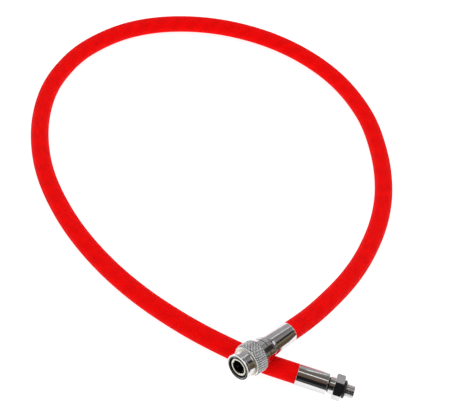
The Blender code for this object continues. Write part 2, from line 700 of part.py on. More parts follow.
def smooth_route(coupling, supply):
    """Points along one smooth curve through the route, straight out of each fitting at first."""
    mouths = [coupling.matrix_world.translation, supply.matrix_world.translation]
    ways = [fitting.matrix_world.to_3x3() @ Vector((0.0, 0.0, 1.0)) for fitting in (coupling, supply)]
    ends = [mouth - way * HOSE_END_GAP for mouth, way in zip(mouths, ways)]
    leads = [end - way * HOSE_LEAD for end, way in zip(ends, ways)]
    places = [leads[0]] + [Vector(place) * MM for place in ROUTE] + [leads[1]]
    slopes = [-ways[0] * (places[1] - places[0]).length]
    slopes += [(after - before) / 2.0 for before, after in zip(places, places[2:])]
    slopes.append(ways[1] * (places[-1] - places[-2]).length)
    points = [ends[0], leads[0]]
    for start, end, leave, arrive in zip(places, places[1:], slopes, slopes[1:]):
        handles = (start + leave / 3.0, end - arrive / 3.0)
        points += interpolate_bezier(start, *handles, end, ROUTE_STEPS + 1)[1:]
    points.append(ends[1])
    return points


def build_hose(finish, coupling, supply):
    """The free stretch of hose, a plain round tube between the two ferrules."""
    points = smooth_route(coupling, supply)
    curve = bpy.data.curves.new("hose", "CURVE")
    curve.dimensions = "3D"
    curve.bevel_depth = HOSE_RADIUS
    curve.bevel_resolution = 4
    curve.use_fill_caps = True
    spline = curve.splines.new("POLY")
    spline.points.add(len(points) - 1)
    for point, place in zip(spline.points, points):
        point.co = (*place, 1.0)
    add_object("hose", curve, finish)


def main():
    """Build the whole hose."""
    clear_scene()
    finishes = {
        "braid": material("red_braid", (0.80, 0.01, 0.01), 0.6, 0.0),
        "plate": material("chrome_plate", (0.80, 0.80, 0.82), 0.12, 1.0),
        "steel": material("spring_steel", (0.55, 0.55, 0.57), 0.3, 1.0),
        "brass": material("brass", (0.75, 0.58, 0.28), 0.3, 1.0),
        "rubber": material("hose_rubber", (0.03, 0.03, 0.03), 0.7, 0.0),
        "seal": material("seal_rubber", (0.02, 0.02, 0.02), 0.5, 0.0),
    }
    supply_height = SUPPLY_HEX_CORNER_RADIUS * math.cos(SUPPLY_SPIN)
    supply_mouth = Vector((SUPPLY_MOUTH_X, SUPPLY_MOUTH_Y, supply_height))
    coupling_mouth = Vector((COUPLING_MOUTH_X, COUPLING_MOUTH_Y, COUPLING_MOUTH_Z))
    supply = fitting_empty("supply_axis", supply_mouth, SUPPLY_HEADING, 0.0)
    coupling = fitting_empty("coupling_axis", coupling_mouth, COUPLING_HEADING, COUPLING_RISE)
    build_supply_end(finishes, supply)
    build_ferrule("coupling_ferrule", finishes["plate"], coupling)
    build_hose_end("coupling_hose_end", finishes["rubber"], coupling)
    build_coupling_body(finishes, coupling)
    build_sleeve(finishes, coupling)
    build_lock(finishes, coupling)
    build_valve(finishes, coupling)
    build_hose(finishes["braid"], coupling, supply)


main()
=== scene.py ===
"""Looks of a braided low-pressure inflator hose with two chrome-plated fittings.

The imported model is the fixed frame. This script puts the fine shapes and the finishes on it: the woven
cover of the hose, smooth turned fittings with a knurled grip and a real thread, and a plain studio.
Each fitting is modelled along its own +Z, from the ferrule's mouth at station 0 to the tip, and is then
laid in place. Sizes are in metres.
"""

import logging
import math
from collections.abc import Callable, Iterator, Sequence
from contextlib import contextmanager
from dataclasses import dataclass, field
from enum import Enum

import bmesh
import bpy
from mathutils import Matrix, Vector
from mathutils.geometry import interpolate_bezier

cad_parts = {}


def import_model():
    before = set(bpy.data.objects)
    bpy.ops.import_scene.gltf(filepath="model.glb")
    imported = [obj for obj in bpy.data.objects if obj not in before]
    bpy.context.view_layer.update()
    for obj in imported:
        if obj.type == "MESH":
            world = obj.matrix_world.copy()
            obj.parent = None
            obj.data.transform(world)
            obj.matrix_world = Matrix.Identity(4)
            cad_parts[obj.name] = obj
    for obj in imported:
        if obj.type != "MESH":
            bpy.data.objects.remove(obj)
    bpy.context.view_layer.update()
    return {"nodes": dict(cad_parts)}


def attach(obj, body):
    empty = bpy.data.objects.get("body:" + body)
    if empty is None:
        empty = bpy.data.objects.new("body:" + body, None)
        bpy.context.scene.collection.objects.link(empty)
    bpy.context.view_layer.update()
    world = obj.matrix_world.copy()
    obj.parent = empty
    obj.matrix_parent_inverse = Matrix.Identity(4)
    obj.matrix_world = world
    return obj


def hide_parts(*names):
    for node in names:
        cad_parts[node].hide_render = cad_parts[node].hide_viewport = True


LOG = logging.getLogger("inflator_hose")
MM = 0.001
WHITE = (1.0, 1.0, 1.0)

# Points closer than this are one, and stations this close are the same.
WELD = 1e-7
SLACK = 1e-6

# A corner flatter than this, in radians, isn't rounded. A rounding takes at most a share of each side.
MIN_BEND = 0.05
ROUNDING_ROOM = 0.45
ARC_HANDLE = 0.56

# A face looks at the fitting's tip where its normal points this much along +Z.
TIPWARD = 0.9

Piece = bpy.types.Object
Triple = tuple[float, float, float]
Colour = Triple
Bands = tuple[tuple[float, str], ...]


class Carrier(Enum):
    """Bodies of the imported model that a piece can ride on."""

    HOSE = "hose_assembly"
    SLEEVE = "release_sleeve"


class Slot(Enum):
    """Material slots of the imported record."""

    BRAID = "red_braid"
    PLATE = "chrome_plate"
    STEEL = "spring_steel"
    BRASS = "brass"
    TUBE = "hose_rubber"
    SEAL = "seal_rubber"


# ---- Shader maths ----


def math_node(operation: str) -> "Callable[..., Signal]":
    """Make a method of Signal that adds one Math node.

    Args:
        operation: The node's operation.

    Returns:
        The method. It takes the signal and the operation's other values.
    """

    def join(signal: "Signal", *others: "Signal | float") -> "Signal":
        """Join the signal and the other values with the node."""
        values = dict(enumerate((signal, *others)))
        return signal.bench.add("ShaderNodeMath", {"operation": operation}, values)

    return join


class Signal:
    """A shader socket that Python's maths operators act on."""

    def __init__(self, bench: "ShaderBench", socket: bpy.types.NodeSocket) -> None:
        """Wrap a socket."""
        self.bench = bench
        self.socket = socket

    __add__ = __radd__ = math_node("ADD")
    __sub__ = math_node("SUBTRACT")
    __mul__ = math_node("MULTIPLY")
    maximum = math_node("MAXIMUM")
    floor = math_node("FLOOR")
    fraction = math_node("FRACT")
    sine = math_node("SINE")
    cosine = math_node("COSINE")
    power = math_node("POWER")

    def __rsub__(self, other: float) -> "Signal":
        """Subtract from a number."""
        return self.bench.add("ShaderNodeMath", {"operation": "SUBTRACT"}, {0: other, 1: self})

    def ramp(self, low: float, high: float, end: float = 1.0) -> "Signal":
        """Map low..high onto 0..end, clamped."""
        values = {"Value": self, "From Min": low, "From Max": high, "To Min": 0.0, "To Max": end}
        return self.bench.add("ShaderNodeMapRange", {"clamp": True}, values)


class ShaderBench:
    """Makes the nodes of one material or world."""

    def __init__(self, tree: bpy.types.NodeTree) -> None:
        """Start on an empty tree."""
        self.tree = tree
        tree.nodes.clear()

    def add(
        self,
        kind: str,
        settings: dict[str, object] | None = None,
        values: dict[str | int, object] | None = None,
        output: str | int = 0,
    ) -> Signal:
        """Add one node.

        Args:
            kind: The node's type.
            settings: The node's own settings, set before its sockets.
            values: Numbers, colours or signals for its input sockets.
            output: Which output to hand back.

        Returns:
            The chosen output.
        """
        node = self.tree.nodes.new(kind)
        for name, value in (settings or {}).items():
            setattr(node, name, value)
        for name, value in (values or {}).items():
            if isinstance(value, Signal):
                self.tree.links.new(value.socket, node.inputs[name])
            else:
                node.inputs[name].default_value = value
        return Signal(self, node.outputs[output])

    def add_output(self, kind: str, surface: Signal) -> None:
        """Add the output node and link the shader to it."""
        node = self.tree.nodes.new(kind)
        self.tree.links.new(surface.socket, node.inputs["Surface"])

    def blend(self, share: Signal, first: "Signal | Colour", second: "Signal | Colour") -> Signal:
        """Mix two colours.

        Args:
            share: Share of the second colour.
            first: The first colour.
            second: The second colour.

        Returns:
            The mixed colour.
        """
        ends = [end if isinstance(end, Signal) else (*end, 1.0) for end in (first, second)]
        values = {0: share, 6: ends[0], 7: ends[1]}
        return self.add("ShaderNodeMix", {"data_type": "RGBA"}, values, output=2)

    def place(self) -> Signal:
        """Position in the row frame, in metres."""
        return self.add("ShaderNodeTexCoord", output="Object")

    def noise(self, place: Signal, scale: float, detail: float = 2.0, roughness: float = 0.5) -> Signal:
        """Fractal noise."""
        values = {"Vector": place, "Scale": scale, "Detail": detail, "Roughness": roughness}
        return self.add("ShaderNodeTexNoise", {"noise_dimensions": "3D"}, values)

    def scaled(self, place: Signal, factors: Triple) -> Signal:
        """Stretch a position along each of its axes."""
        return self.add("ShaderNodeVectorMath", {"operation": "MULTIPLY"}, {0: place, 1: factors})

    def parts(self, place: Signal) -> tuple[Signal, Signal, Signal]:
        """Split a vector into its three numbers.

        Args:
            place: the vector.
        
        Returns:
            Its first, second and third number.
        """
        first = self.add("ShaderNodeSeparateXYZ", None, {0: place}, output=0)
        outputs = first.socket.node.outputs
        return first, Signal(self, outputs[1]), Signal(self, outputs[2])

    def bump(self, height: Signal, distance: float, strength: float = 1.0) -> Signal:
        """Turn a height into a surface normal."""
        values = {"Height": height, "Distance": distance, "Strength": strength}
        return self.add("ShaderNodeBump", None, values)

    def lit(self, kind: str, colour: Colour, strength: float | None = None) -> Signal:
        """Add a plain diffuse, emitting or background shader.

        Args:
            kind: The end of the node type's name.
            colour: Its colour.
            strength: Its strength, where it has one.

        Returns:
            The shader.
        """
        values: dict[str | int, object] = {"Color": (*colour, 1.0)}
        if strength is not None:
            values["Strength"] = strength
        return self.add(f"ShaderNode{kind}", None, values)

    def seen_rays(self) -> Signal:
        """One for the rays of the camera, of mirrors and of glass, nought for light that spreads.

        Returns:
            The signal, one or nought.
        """
        camera = self.add("ShaderNodeLightPath", output="Is Camera Ray")
        outputs = camera.socket.node.outputs
        glossy = Signal(self, outputs["Is Glossy Ray"])
        return camera.maximum(glossy).maximum(Signal(self, outputs["Is Transmission Ray"]))


@dataclass(frozen=True)
class FittingAxis:
    """The line that one fitting is turned about."""

    mouth: Triple
    heading: float
    rise: float = 0.0

    def matrix(self) -> Matrix:
        """Place and turn of the fitting, with +X level and +Z towards its tip.

        Returns:
            The matrix that carries the fitting into the scene.
        """
        level = Vector((math.cos(self.heading), math.sin(self.heading), 0.0))
        along = level * math.cos(self.rise) + Vector((0.0, 0.0, math.sin(self.rise)))
        across = Vector((-math.sin(self.heading), math.cos(self.heading), 0.0))
        turn = Matrix((across, along.cross(across), along)).transposed().to_4x4()
        return Matrix.Translation(self.mouth) @ turn

    def along(self) -> Vector:
        """Direction from the mouth to the tip."""
        return self.matrix().to_3x3() @ Vector((0.0, 0.0, 1.0))


# ---- Finishes ----


@dataclass(frozen=True)
class Finish:
    """A finish that pieces share.

    Each kind of finish fills in its own surface. Finishes of the studio have no slot.
    """

    title: str
    slot: Slot | None

    def material(self) -> bpy.types.Material:
        """Make the material, or hand back the one that was made before.

        Returns:
            The material of this finish.
        """
        found = bpy.data.materials.get(self.title)
        if found:
            return found
        made = bpy.data.materials.new(self.title)
        made.use_nodes = True
        bench = ShaderBench(made.node_tree)
        bench.add_output("ShaderNodeOutputMaterial", self.surface(bench))
        return made

    def surface(self, bench: ShaderBench) -> Signal:
        """Build the shader."""
        raise NotImplementedError


@dataclass(frozen=True)
class PlatedMetal(Finish):
    """Turned metal, bright or dull, with faint tool rings about its fitting's axis."""

    axis: FittingAxis
    colour: Colour = (0.74, 0.74, 0.76)
    stain: Colour = (0.58, 0.56, 0.54)
    roughness: float = 0.07
    metal: float = 1.0
    ring_height: float = 0.0006 * MM
    wave_height: float = 0.012 * MM
    ring_cells: Triple = (40.0, 40.0, 9000.0)
    hair_cells: Triple = (2600.0, 2600.0, 260.0)
    wave_cells: float = 160.0
    smudge_cells: float = 240.0
    stain_share: float = 0.5
    stain_roughness: float = 0.06
    hair_roughness: float = 0.05

    def surface(self, bench: ShaderBench) -> Signal:
        """Build plated metal.

        Args:
            bench: The bench to build it on.

        Returns:
            The finished shader.
        """
        turn = tuple(self.axis.matrix().to_euler())
        values = {0: bench.place(), 1: self.axis.mouth, 2: turn}
        place = bench.add("ShaderNodeMapping", {"vector_type": "TEXTURE"}, values)
        rings = bench.noise(bench.scaled(place, self.ring_cells), 1.0, 3.0)
        waves = bench.noise(place, self.wave_cells, 1.0)
        smudges = bench.noise(place, self.smudge_cells, 4.0, 0.6)
        hairs = bench.noise(bench.scaled(place, self.hair_cells), 1.0, 1.0)
        worn = smudges.ramp(0.42, 0.72)
        scratches = hairs.ramp(0.6, 0.8, self.hair_roughness)
        height = rings * self.ring_height + waves * self.wave_height
        values = {
            "Base Color": self.tint(bench, bench.blend(worn * self.stain_share, self.colour, self.stain)),
            "Metallic": self.metal,
            "Roughness": self.roughness + worn * self.stain_roughness + scratches,
            "Normal": bench.bump(height, 1.0),
        }
        return bench.add("ShaderNodeBsdfPrincipled", None, values)

    def tint(self, bench: ShaderBench, colour: Signal) -> Signal:
        """Change the plating's colour. Plain plating keeps it."""
        return colour


@dataclass(frozen=True)
class KnurledMetal(PlatedMetal):
    """Plating on the knurled sleeve, with painted shade darkening the grooves between the teeth.

    The grooves are read from the sleeve's own map, whose first number is the height on a tooth.
    """

    # Near-black colour painted into the grooves between the teeth as shade.
    groove: Colour = (0.016, 0.016, 0.018)
    groove_shade_floor: float = 0.312
    groove_shade_rim: float = 0.52

    def tint(self, bench: ShaderBench, colour: Signal) -> Signal:
        """Paint shade into the grooves."""
        height, _, _ = bench.parts(bench.add("ShaderNodeUVMap", {"uv_map": "tooth_map"}))
        return bench.blend(height.ramp(self.groove_shade_floor, self.groove_shade_rim), self.groove, colour)


@dataclass(frozen=True)
class FacedMetal(Finish):
    """Flat turned face, satin, by default painted a warm cream as a reflection of a cream floor; its
    mottle is random tone.
    """

    # Default warm cream: a painted reflection of a cream floor.
    colour: Colour = (0.86, 0.83, 0.72)
    worn: Colour = (0.70, 0.66, 0.52)
    metal: float = 0.25
    roughness: float = 0.35
    mottle_cells: float = 900.0
    mottle_roughness: float = 0.15

    def surface(self, bench: ShaderBench) -> Signal:
        """Build the faced metal.

        Args:
            bench: The bench to build it on.

        Returns:
            The finished shader.
        """
        mottle = bench.noise(bench.place(), self.mottle_cells, 3.0, 0.6)
        values = {
            "Base Color": bench.blend(mottle.ramp(0.35, 0.75), self.colour, self.worn),
            "Metallic": self.metal,
            "Roughness": self.roughness + mottle * self.mottle_roughness,
        }
        return bench.add("ShaderNodeBsdfPrincipled", None, values)


@dataclass(frozen=True)
class BraidedCover(Finish):
    """Fine nylon braid, two over and two under, read from the hose's own map.

    The map's first number is turns about the hose, its second metres along it. The strands' height paints
    shade into the hollows between them and a highlight on their crests.
    """

    strands: int = 36
    radius: float = 7.15 * MM
    lean: float = math.radians(48.0)
    thread: Colour = (0.87, 0.0012, 0.0010)
    # Colour painted as shade in the hollows between strands, and in dark random patches.
    shade: Colour = (0.38, 0.0003, 0.0004)
    # Colour painted as a highlight on the strands' crests, where the random patches are light.
    bright: Colour = (0.98, 0.0050, 0.0040)
    relief: float = 0.20 * MM
    roughness: float = 0.72
    crest_polish: float = 0.14
    specular: float = 0.03
    roundness: float = 0.6
    dive: float = 0.42
    filament: float = 0.06
    filaments: float = 3.0
    patch_cells: float = 210.0
    fuzz_cells: float = 2600.0
    height_share: float = 0.76
    patch_share: float = 0.24
    fuzz_share: float = 0.18
    yarn_share: float = 0.03
    scatter: tuple[float, float] = (12.9898, 78.233)

    def strand_height(self, across: Signal, along: Signal, over: float) -> Signal:
        """Height of one family of strands.

        Args:
            across: Strands counted across this family.
            along: Strands of the other family counted along it.
            over: Phase, in strands, at which this family is on top.

        Returns:
            Height from 0 to 1.
        """
        crown = (across.fraction() * math.pi).sine()
        wave = ((along + across.floor() + over) * (math.pi / 2.0)).cosine()
        threads = (across * (math.tau * self.filaments)).cosine() * self.filament + (1.0 - self.filament)
        return crown.power(self.roundness) * (wave * self.dive + (1.0 - self.dive)) * threads

    def surface(self, bench: ShaderBench) -> Signal:
        """Build the braid.

        Args:
            bench: The bench to build it on.

        Returns:
            The finished shader.
        """
        turns, length, _ = bench.parts(bench.add("ShaderNodeUVMap", {"uv_map": "hose_map"}))
        pitch = math.tau * self.radius / self.strands
        climb = math.tan(self.lean) / pitch
        left = turns * float(self.strands) + length * climb
        right = turns * float(self.strands) - length * climb
        height = self.strand_height(left, right, 0.0).maximum(self.strand_height(right, left, 2.0))
        place = bench.place()
        patches = bench.noise(place, self.patch_cells, 3.0, 0.6)
        fuzz = bench.noise(place, self.fuzz_cells, 2.0, 0.6) * self.fuzz_share
        yarn = (left.floor() * self.scatter[0]).sine() + (right.floor() * self.scatter[1]).sine()
        # Strand height paints shade and highlight into the tone; patches, fuzz and yarn add random tone.
        tone = height * self.height_share + patches * self.patch_share + fuzz + yarn * self.yarn_share
        dark = bench.blend(tone.ramp(0.42, 0.78), self.shade, self.thread)
        values = {
            "Base Color": bench.blend(tone.ramp(0.86, 1.2), dark, self.bright),
            "Roughness": self.roughness - height * self.crest_polish,
            "Specular IOR Level": self.specular,
            "Normal": bench.bump(height + fuzz, self.relief, 0.8),
        }
        return bench.add("ShaderNodeBsdfPrincipled", None, values)


@dataclass(frozen=True)
class MouldedRubber(Finish):
    """Black rubber, faintly mottled, with a dry bloom."""

    colour: Colour = (0.012, 0.012, 0.014)
    bloom: Colour = (0.035, 0.035, 0.038)
    roughness: float = 0.38
    mottle_cells: float = 700.0
    mottle_roughness: float = 0.2
    grain_cells: float = 6000.0
    grain_height: float = 0.01 * MM

    def surface(self, bench: ShaderBench) -> Signal:
        """Build rubber.

        Args:
            bench: The bench to build it on.

        Returns:
            The finished shader.
        """
        place = bench.place()
        mottle = bench.noise(place, self.mottle_cells, 4.0, 0.6)
        grain = bench.noise(place, self.grain_cells)
        values = {
            "Base Color": bench.blend(mottle.ramp(0.4, 0.75), self.colour, self.bloom),
            "Roughness": self.roughness + mottle * self.mottle_roughness,
            "Specular IOR Level": 0.5,
            "Normal": bench.bump(grain, self.grain_height, 0.5),
        }
        return bench.add("ShaderNodeBsdfPrincipled", None, values)


@dataclass(frozen=True)
class PaleFloor(Finish):
    """White sweep that the hose lies on.

    Seen or mirrored, it is paint with a glow, and keeps the shadow. To light that spreads it is a pale
    sheet on a light table.
    """

    glow: float = 0.86
    paint: float = 0.30
    bounce: float = 0.80
    table_light: float = 0.80

    def surface(self, bench: ShaderBench) -> Signal:
        """Build the floor.

        Args:
            bench: The bench to build it on.

        Returns:
            The finished shader.
        """
        layers = []
        for tone, strength in ((self.bounce, self.table_light), (self.paint, self.glow)):
            parts = {0: bench.lit("BsdfDiffuse", (tone,) * 3), 1: bench.lit("Emission", WHITE, strength)}
            layers.append(bench.add("ShaderNodeAddShader", None, parts))
        return bench.add("ShaderNodeMixShader", None, {0: bench.seen_rays(), 1: layers[0], 2: layers[1]})


@dataclass(frozen=True)
class GlowingPanel(Finish):
    """Studio panel that the chrome mirrors, of one colour."""

    colour: Colour = WHITE

    def surface(self, bench: ShaderBench) -> Signal:
        """Build the panel."""
        return bench.lit("Emission", self.colour, 1.0)


# ---- Modelling ----


@dataclass(frozen=True)
class Corner:
    """One corner of a turned piece's outline."""

    radius: float
    station: float
    rounding: float = 0.0


def softened(corners: Sequence[Corner], steps: int = 3) -> list[tuple[float, float]]:
    """Round an outline's corners.

    Args:
        corners: The closed outline.
        steps: Straight pieces in each rounding.

    Returns:
        Points of (radius, station).
    """
    points = []
    places = [Vector((corner.radius, corner.station)) for corner in corners]
    for index, (corner, here) in enumerate(zip(corners, places)):
        before = places[index - 1] - here
        after = places[(index + 1) % len(places)] - here
        inner = before.angle(after)
        reach = 0.0
        if corner.rounding and inner > MIN_BEND:
            room = min(before.length, after.length) * ROUNDING_ROOM
            reach = min(corner.rounding / math.tan(inner / 2.0), room)
        if reach < WELD or math.pi - inner < MIN_BEND:
            points.append(tuple(here))
            continue
        start = here + before.normalized() * reach
        end = here + after.normalized() * reach
        handles = (start.lerp(here, ARC_HANDLE), end.lerp(here, ARC_HANDLE))
        arc = interpolate_bezier(start, *handles, end, steps + 1)
        points += [tuple(point) for point in arc]
    return points


def clear_selection() -> None:
    """Leave edit mode and select nothing."""
    if bpy.context.mode != "OBJECT":
        bpy.ops.object.mode_set(mode="OBJECT")
    bpy.ops.object.select_all(action="DESELECT")


def focus(piece: Piece) -> None:
    """Select one object alone and make it active.

    Args:
        piece: the object.
    """
    clear_selection()
    piece.select_set(True)
    bpy.context.view_layer.objects.active = piece


def bake_place(piece: Piece) -> None:
    """Write an object's place and turn into its mesh."""
    focus(piece)
    bpy.ops.object.transform_apply(location=True, rotation=True, scale=True)


def coat(piece: Piece, *finishes: "Finish") -> None:
    """Give a piece one material slot for each finish."""
    for finish in finishes:
        piece.data.materials.append(finish.material())


@contextmanager
def editing(piece: Piece, kind: str, wanted: Callable[[object], bool]) -> Iterator[None]:
    """Open a mesh for editing with some of its elements selected, and close it afterwards.

    Args:
        piece: The piece.
        kind: Kind of element, EDGE or FACE.
        wanted: Says of each edge or face whether it is selected.

    Yields:
        Nothing. The caller edits the selection.
    """
    focus(piece)
    bpy.ops.object.mode_set(mode="EDIT")
    bpy.ops.mesh.select_mode(type=kind)
    bpy.ops.mesh.select_all(action="DESELECT")
    bpy.ops.object.mode_set(mode="OBJECT")
    for element in piece.data.edges if kind == "EDGE" else piece.data.polygons:
        element.select = wanted(element)
    bpy.ops.object.mode_set(mode="EDIT")
    yield
    bpy.ops.mesh.select_mode(type="VERT")
    bpy.ops.object.mode_set(mode="OBJECT")


def apply_modifier(piece: Piece, kind: str, **settings: object) -> None:
    """Add a modifier and apply it.

    Args:
        piece: The object.
        kind: The modifier's type.
        **settings: The modifier's settings.
    """
    focus(piece)
    step = piece.modifiers.new(kind.title(), kind)
    for name, value in settings.items():
        setattr(step, name, value)
    bpy.ops.object.modifier_apply(modifier=step.name)


def face_outwards(piece: Piece) -> None:
    """Merge doubled points and turn every face outwards.

    Args:
        piece: the piece.
    """
    focus(piece)
    bpy.ops.object.mode_set(mode="EDIT")
    bpy.ops.mesh.select_all(action="SELECT")
    bpy.ops.mesh.remove_doubles(threshold=WELD)
    bpy.ops.mesh.normals_make_consistent(inside=False)
    bpy.ops.object.mode_set(mode="OBJECT")


def traced(name: str, points: Sequence[tuple[float, float]], closed: bool = True) -> Piece:
    """Draw an outline in the XZ plane.

    Args:
        name: The object's name.
        points: Points of (radius, station).
        closed: Whether the last point joins the first.

    Returns:
        The outline as an object of edges.
    """
    clear_selection()
    bpy.ops.mesh.primitive_circle_add(vertices=len(points), fill_type="NOTHING")
    piece = bpy.context.object
    piece.name = name
    piece.data.name = name
    for vertex, (radius, station) in zip(piece.data.vertices, points):
        vertex.co = (radius, 0.0, station)
    if not closed:
        ends = {0, len(points) - 1}
        with editing(piece, "EDGE", lambda edge: set(edge.vertices) == ends):
            bpy.ops.mesh.delete(type="EDGE_FACE")
    return piece


def sweep(piece: Piece, steps: int, weld: float, climb: float = 0.0, turns: int = 1) -> None:
    """Turn an outline about +Z.

    Args:
        piece: The outline.
        steps: Facets in a full turn.
        weld: Distance under which points merge.
        climb: Rise in a full turn.
        turns: Number of turns.
    """
    apply_modifier(
        piece,
        "SCREW",
        axis="Z",
        steps=steps,
        render_steps=steps,
        screw_offset=climb,
        iterations=turns,
        use_merge_vertices=True,
        merge_threshold=weld,
    )


def turned(name: str, corners: Sequence[Corner], steps: int = 96) -> Piece:
    """Turn a closed outline about +Z.

    Args:
        name: The object's name.
        corners: The closed outline.
        steps: Facets in a full turn.

    Returns:
        The solid.
    """
    piece = traced(name, softened(corners))
    sweep(piece, steps, WELD)
    face_outwards(piece)
    return piece


def combine(piece: Piece, tool: Piece, operation: str) -> None:
    """Cut, join or keep the common part of two solids, and drop the second."""
    apply_modifier(piece, "BOOLEAN", operation=operation, solver="EXACT", object=tool)
    bpy.data.objects.remove(tool, do_unlink=True)


@dataclass(frozen=True)
class SpannerHex:
    """Six flats for a spanner, on a turned collar with chamfered ends."""

    start: float
    end: float
    spin: float = 0.0
    crown: float = 0.0
    across_flats: float = 15.9 * MM
    chamfer: float = 0.9 * MM
    edge: float = 0.18 * MM
    bevel_steps: int = 3
    flat_steps: int = 8
    sixth: float = math.pi / 3.0

    @property
    def corner(self) -> float:
        """Radius over the corners."""
        return self.across_flats / math.sqrt(3.0)

    def rear(self) -> list[Corner]:
        """Outline of the rear end's chamfer.

        Returns:
            Its two corners, from the rear.
        """
        return [
            Corner(self.corner - self.chamfer, self.start),
            Corner(self.corner, self.start + self.chamfer / 2.0),
        ]

    def front(self) -> list[Corner]:
        """Outline of the front end's chamfer.

        Returns:
            Its two corners, from the rear.
        """
        return [
            Corner(self.corner, self.end - self.chamfer / 2.0),
            Corner(self.corner - self.chamfer, self.end),
        ]

    def cut_flats(self, body: Piece, top: float) -> None:
        """Keep what a prism with crowned flats and softened corners holds of a turned body.

        Args:
            body: The turned body.
            top: Station of its front end.
        """
        low, high = -MM, top + MM
        clear_selection()
        bpy.ops.mesh.primitive_cylinder_add(
            vertices=6 * self.flat_steps,
            radius=self.corner,
            depth=high - low,
            location=(0.0, 0.0, (low + high) / 2.0),
            rotation=(0.0, 0.0, self.spin + self.sixth / 2.0),
        )
        prism = bpy.context.object
        bake_place(prism)
        for vertex in prism.data.vertices:
            turn = math.atan2(vertex.co.y, vertex.co.x) - self.spin
            off = (turn + self.sixth / 2.0) % self.sixth - self.sixth / 2.0
            share = math.tan(off) / math.tan(self.sixth / 2.0)
            reach = (self.across_flats / 2.0 + self.crown * (1.0 - share * share)) / math.cos(off)
            vertex.co.x = reach * math.cos(turn + self.spin)
            vertex.co.y = reach * math.sin(turn + self.spin)
        points = prism.data.vertices

        def upright_corner(side: bpy.types.MeshEdge) -> bool:
            """Say whether an edge runs up one of the prism's six corners.

            Args:
                side: the edge.
            
            Returns:
                True for an upright edge at a corner.
            """
            first, second = (points[index].co for index in side.vertices)
            upright = abs(first.z - second.z) > (high - low) / 2.0
            return upright and math.hypot(first.x, first.y) > 0.999 * self.corner

        with editing(prism, "EDGE", upright_corner):
            bpy.ops.mesh.bevel(offset=self.edge, segments=self.bevel_steps, affect="EDGES")
        combine(body, prism, "INTERSECT")


def lay_in_place(piece: Piece, axis: FittingAxis) -> None:
    """Move a piece from its fitting's own frame into the row frame, in its mesh."""
    piece.matrix_world = axis.matrix()
    bake_place(piece)


def dress(
    piece: Piece,
    finish: Finish,
    carrier: Carrier,
    stands_for: Sequence[str] = (),
    sharp: float = 32.0,
) -> None:
    """Give a finished piece its material, its shading and its body.

    Args:
        piece: The piece, in place.
        finish: Its finish.
        carrier: The body it rides on.
        stands_for: CAD nodes that it replaces.
        sharp: Angle in degrees over which an edge stays sharp.
    """
    focus(piece)
    bpy.ops.object.shade_smooth_by_angle(angle=math.radians(sharp))
    if not piece.data.materials:
        coat(piece, finish)
    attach(piece, carrier.value)
    if stands_for:
        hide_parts(*stands_for)
    LOG.info("%s rides on %s, %d faces", piece.name, carrier.value, len(piece.data.polygons))


# ---- The hose ----


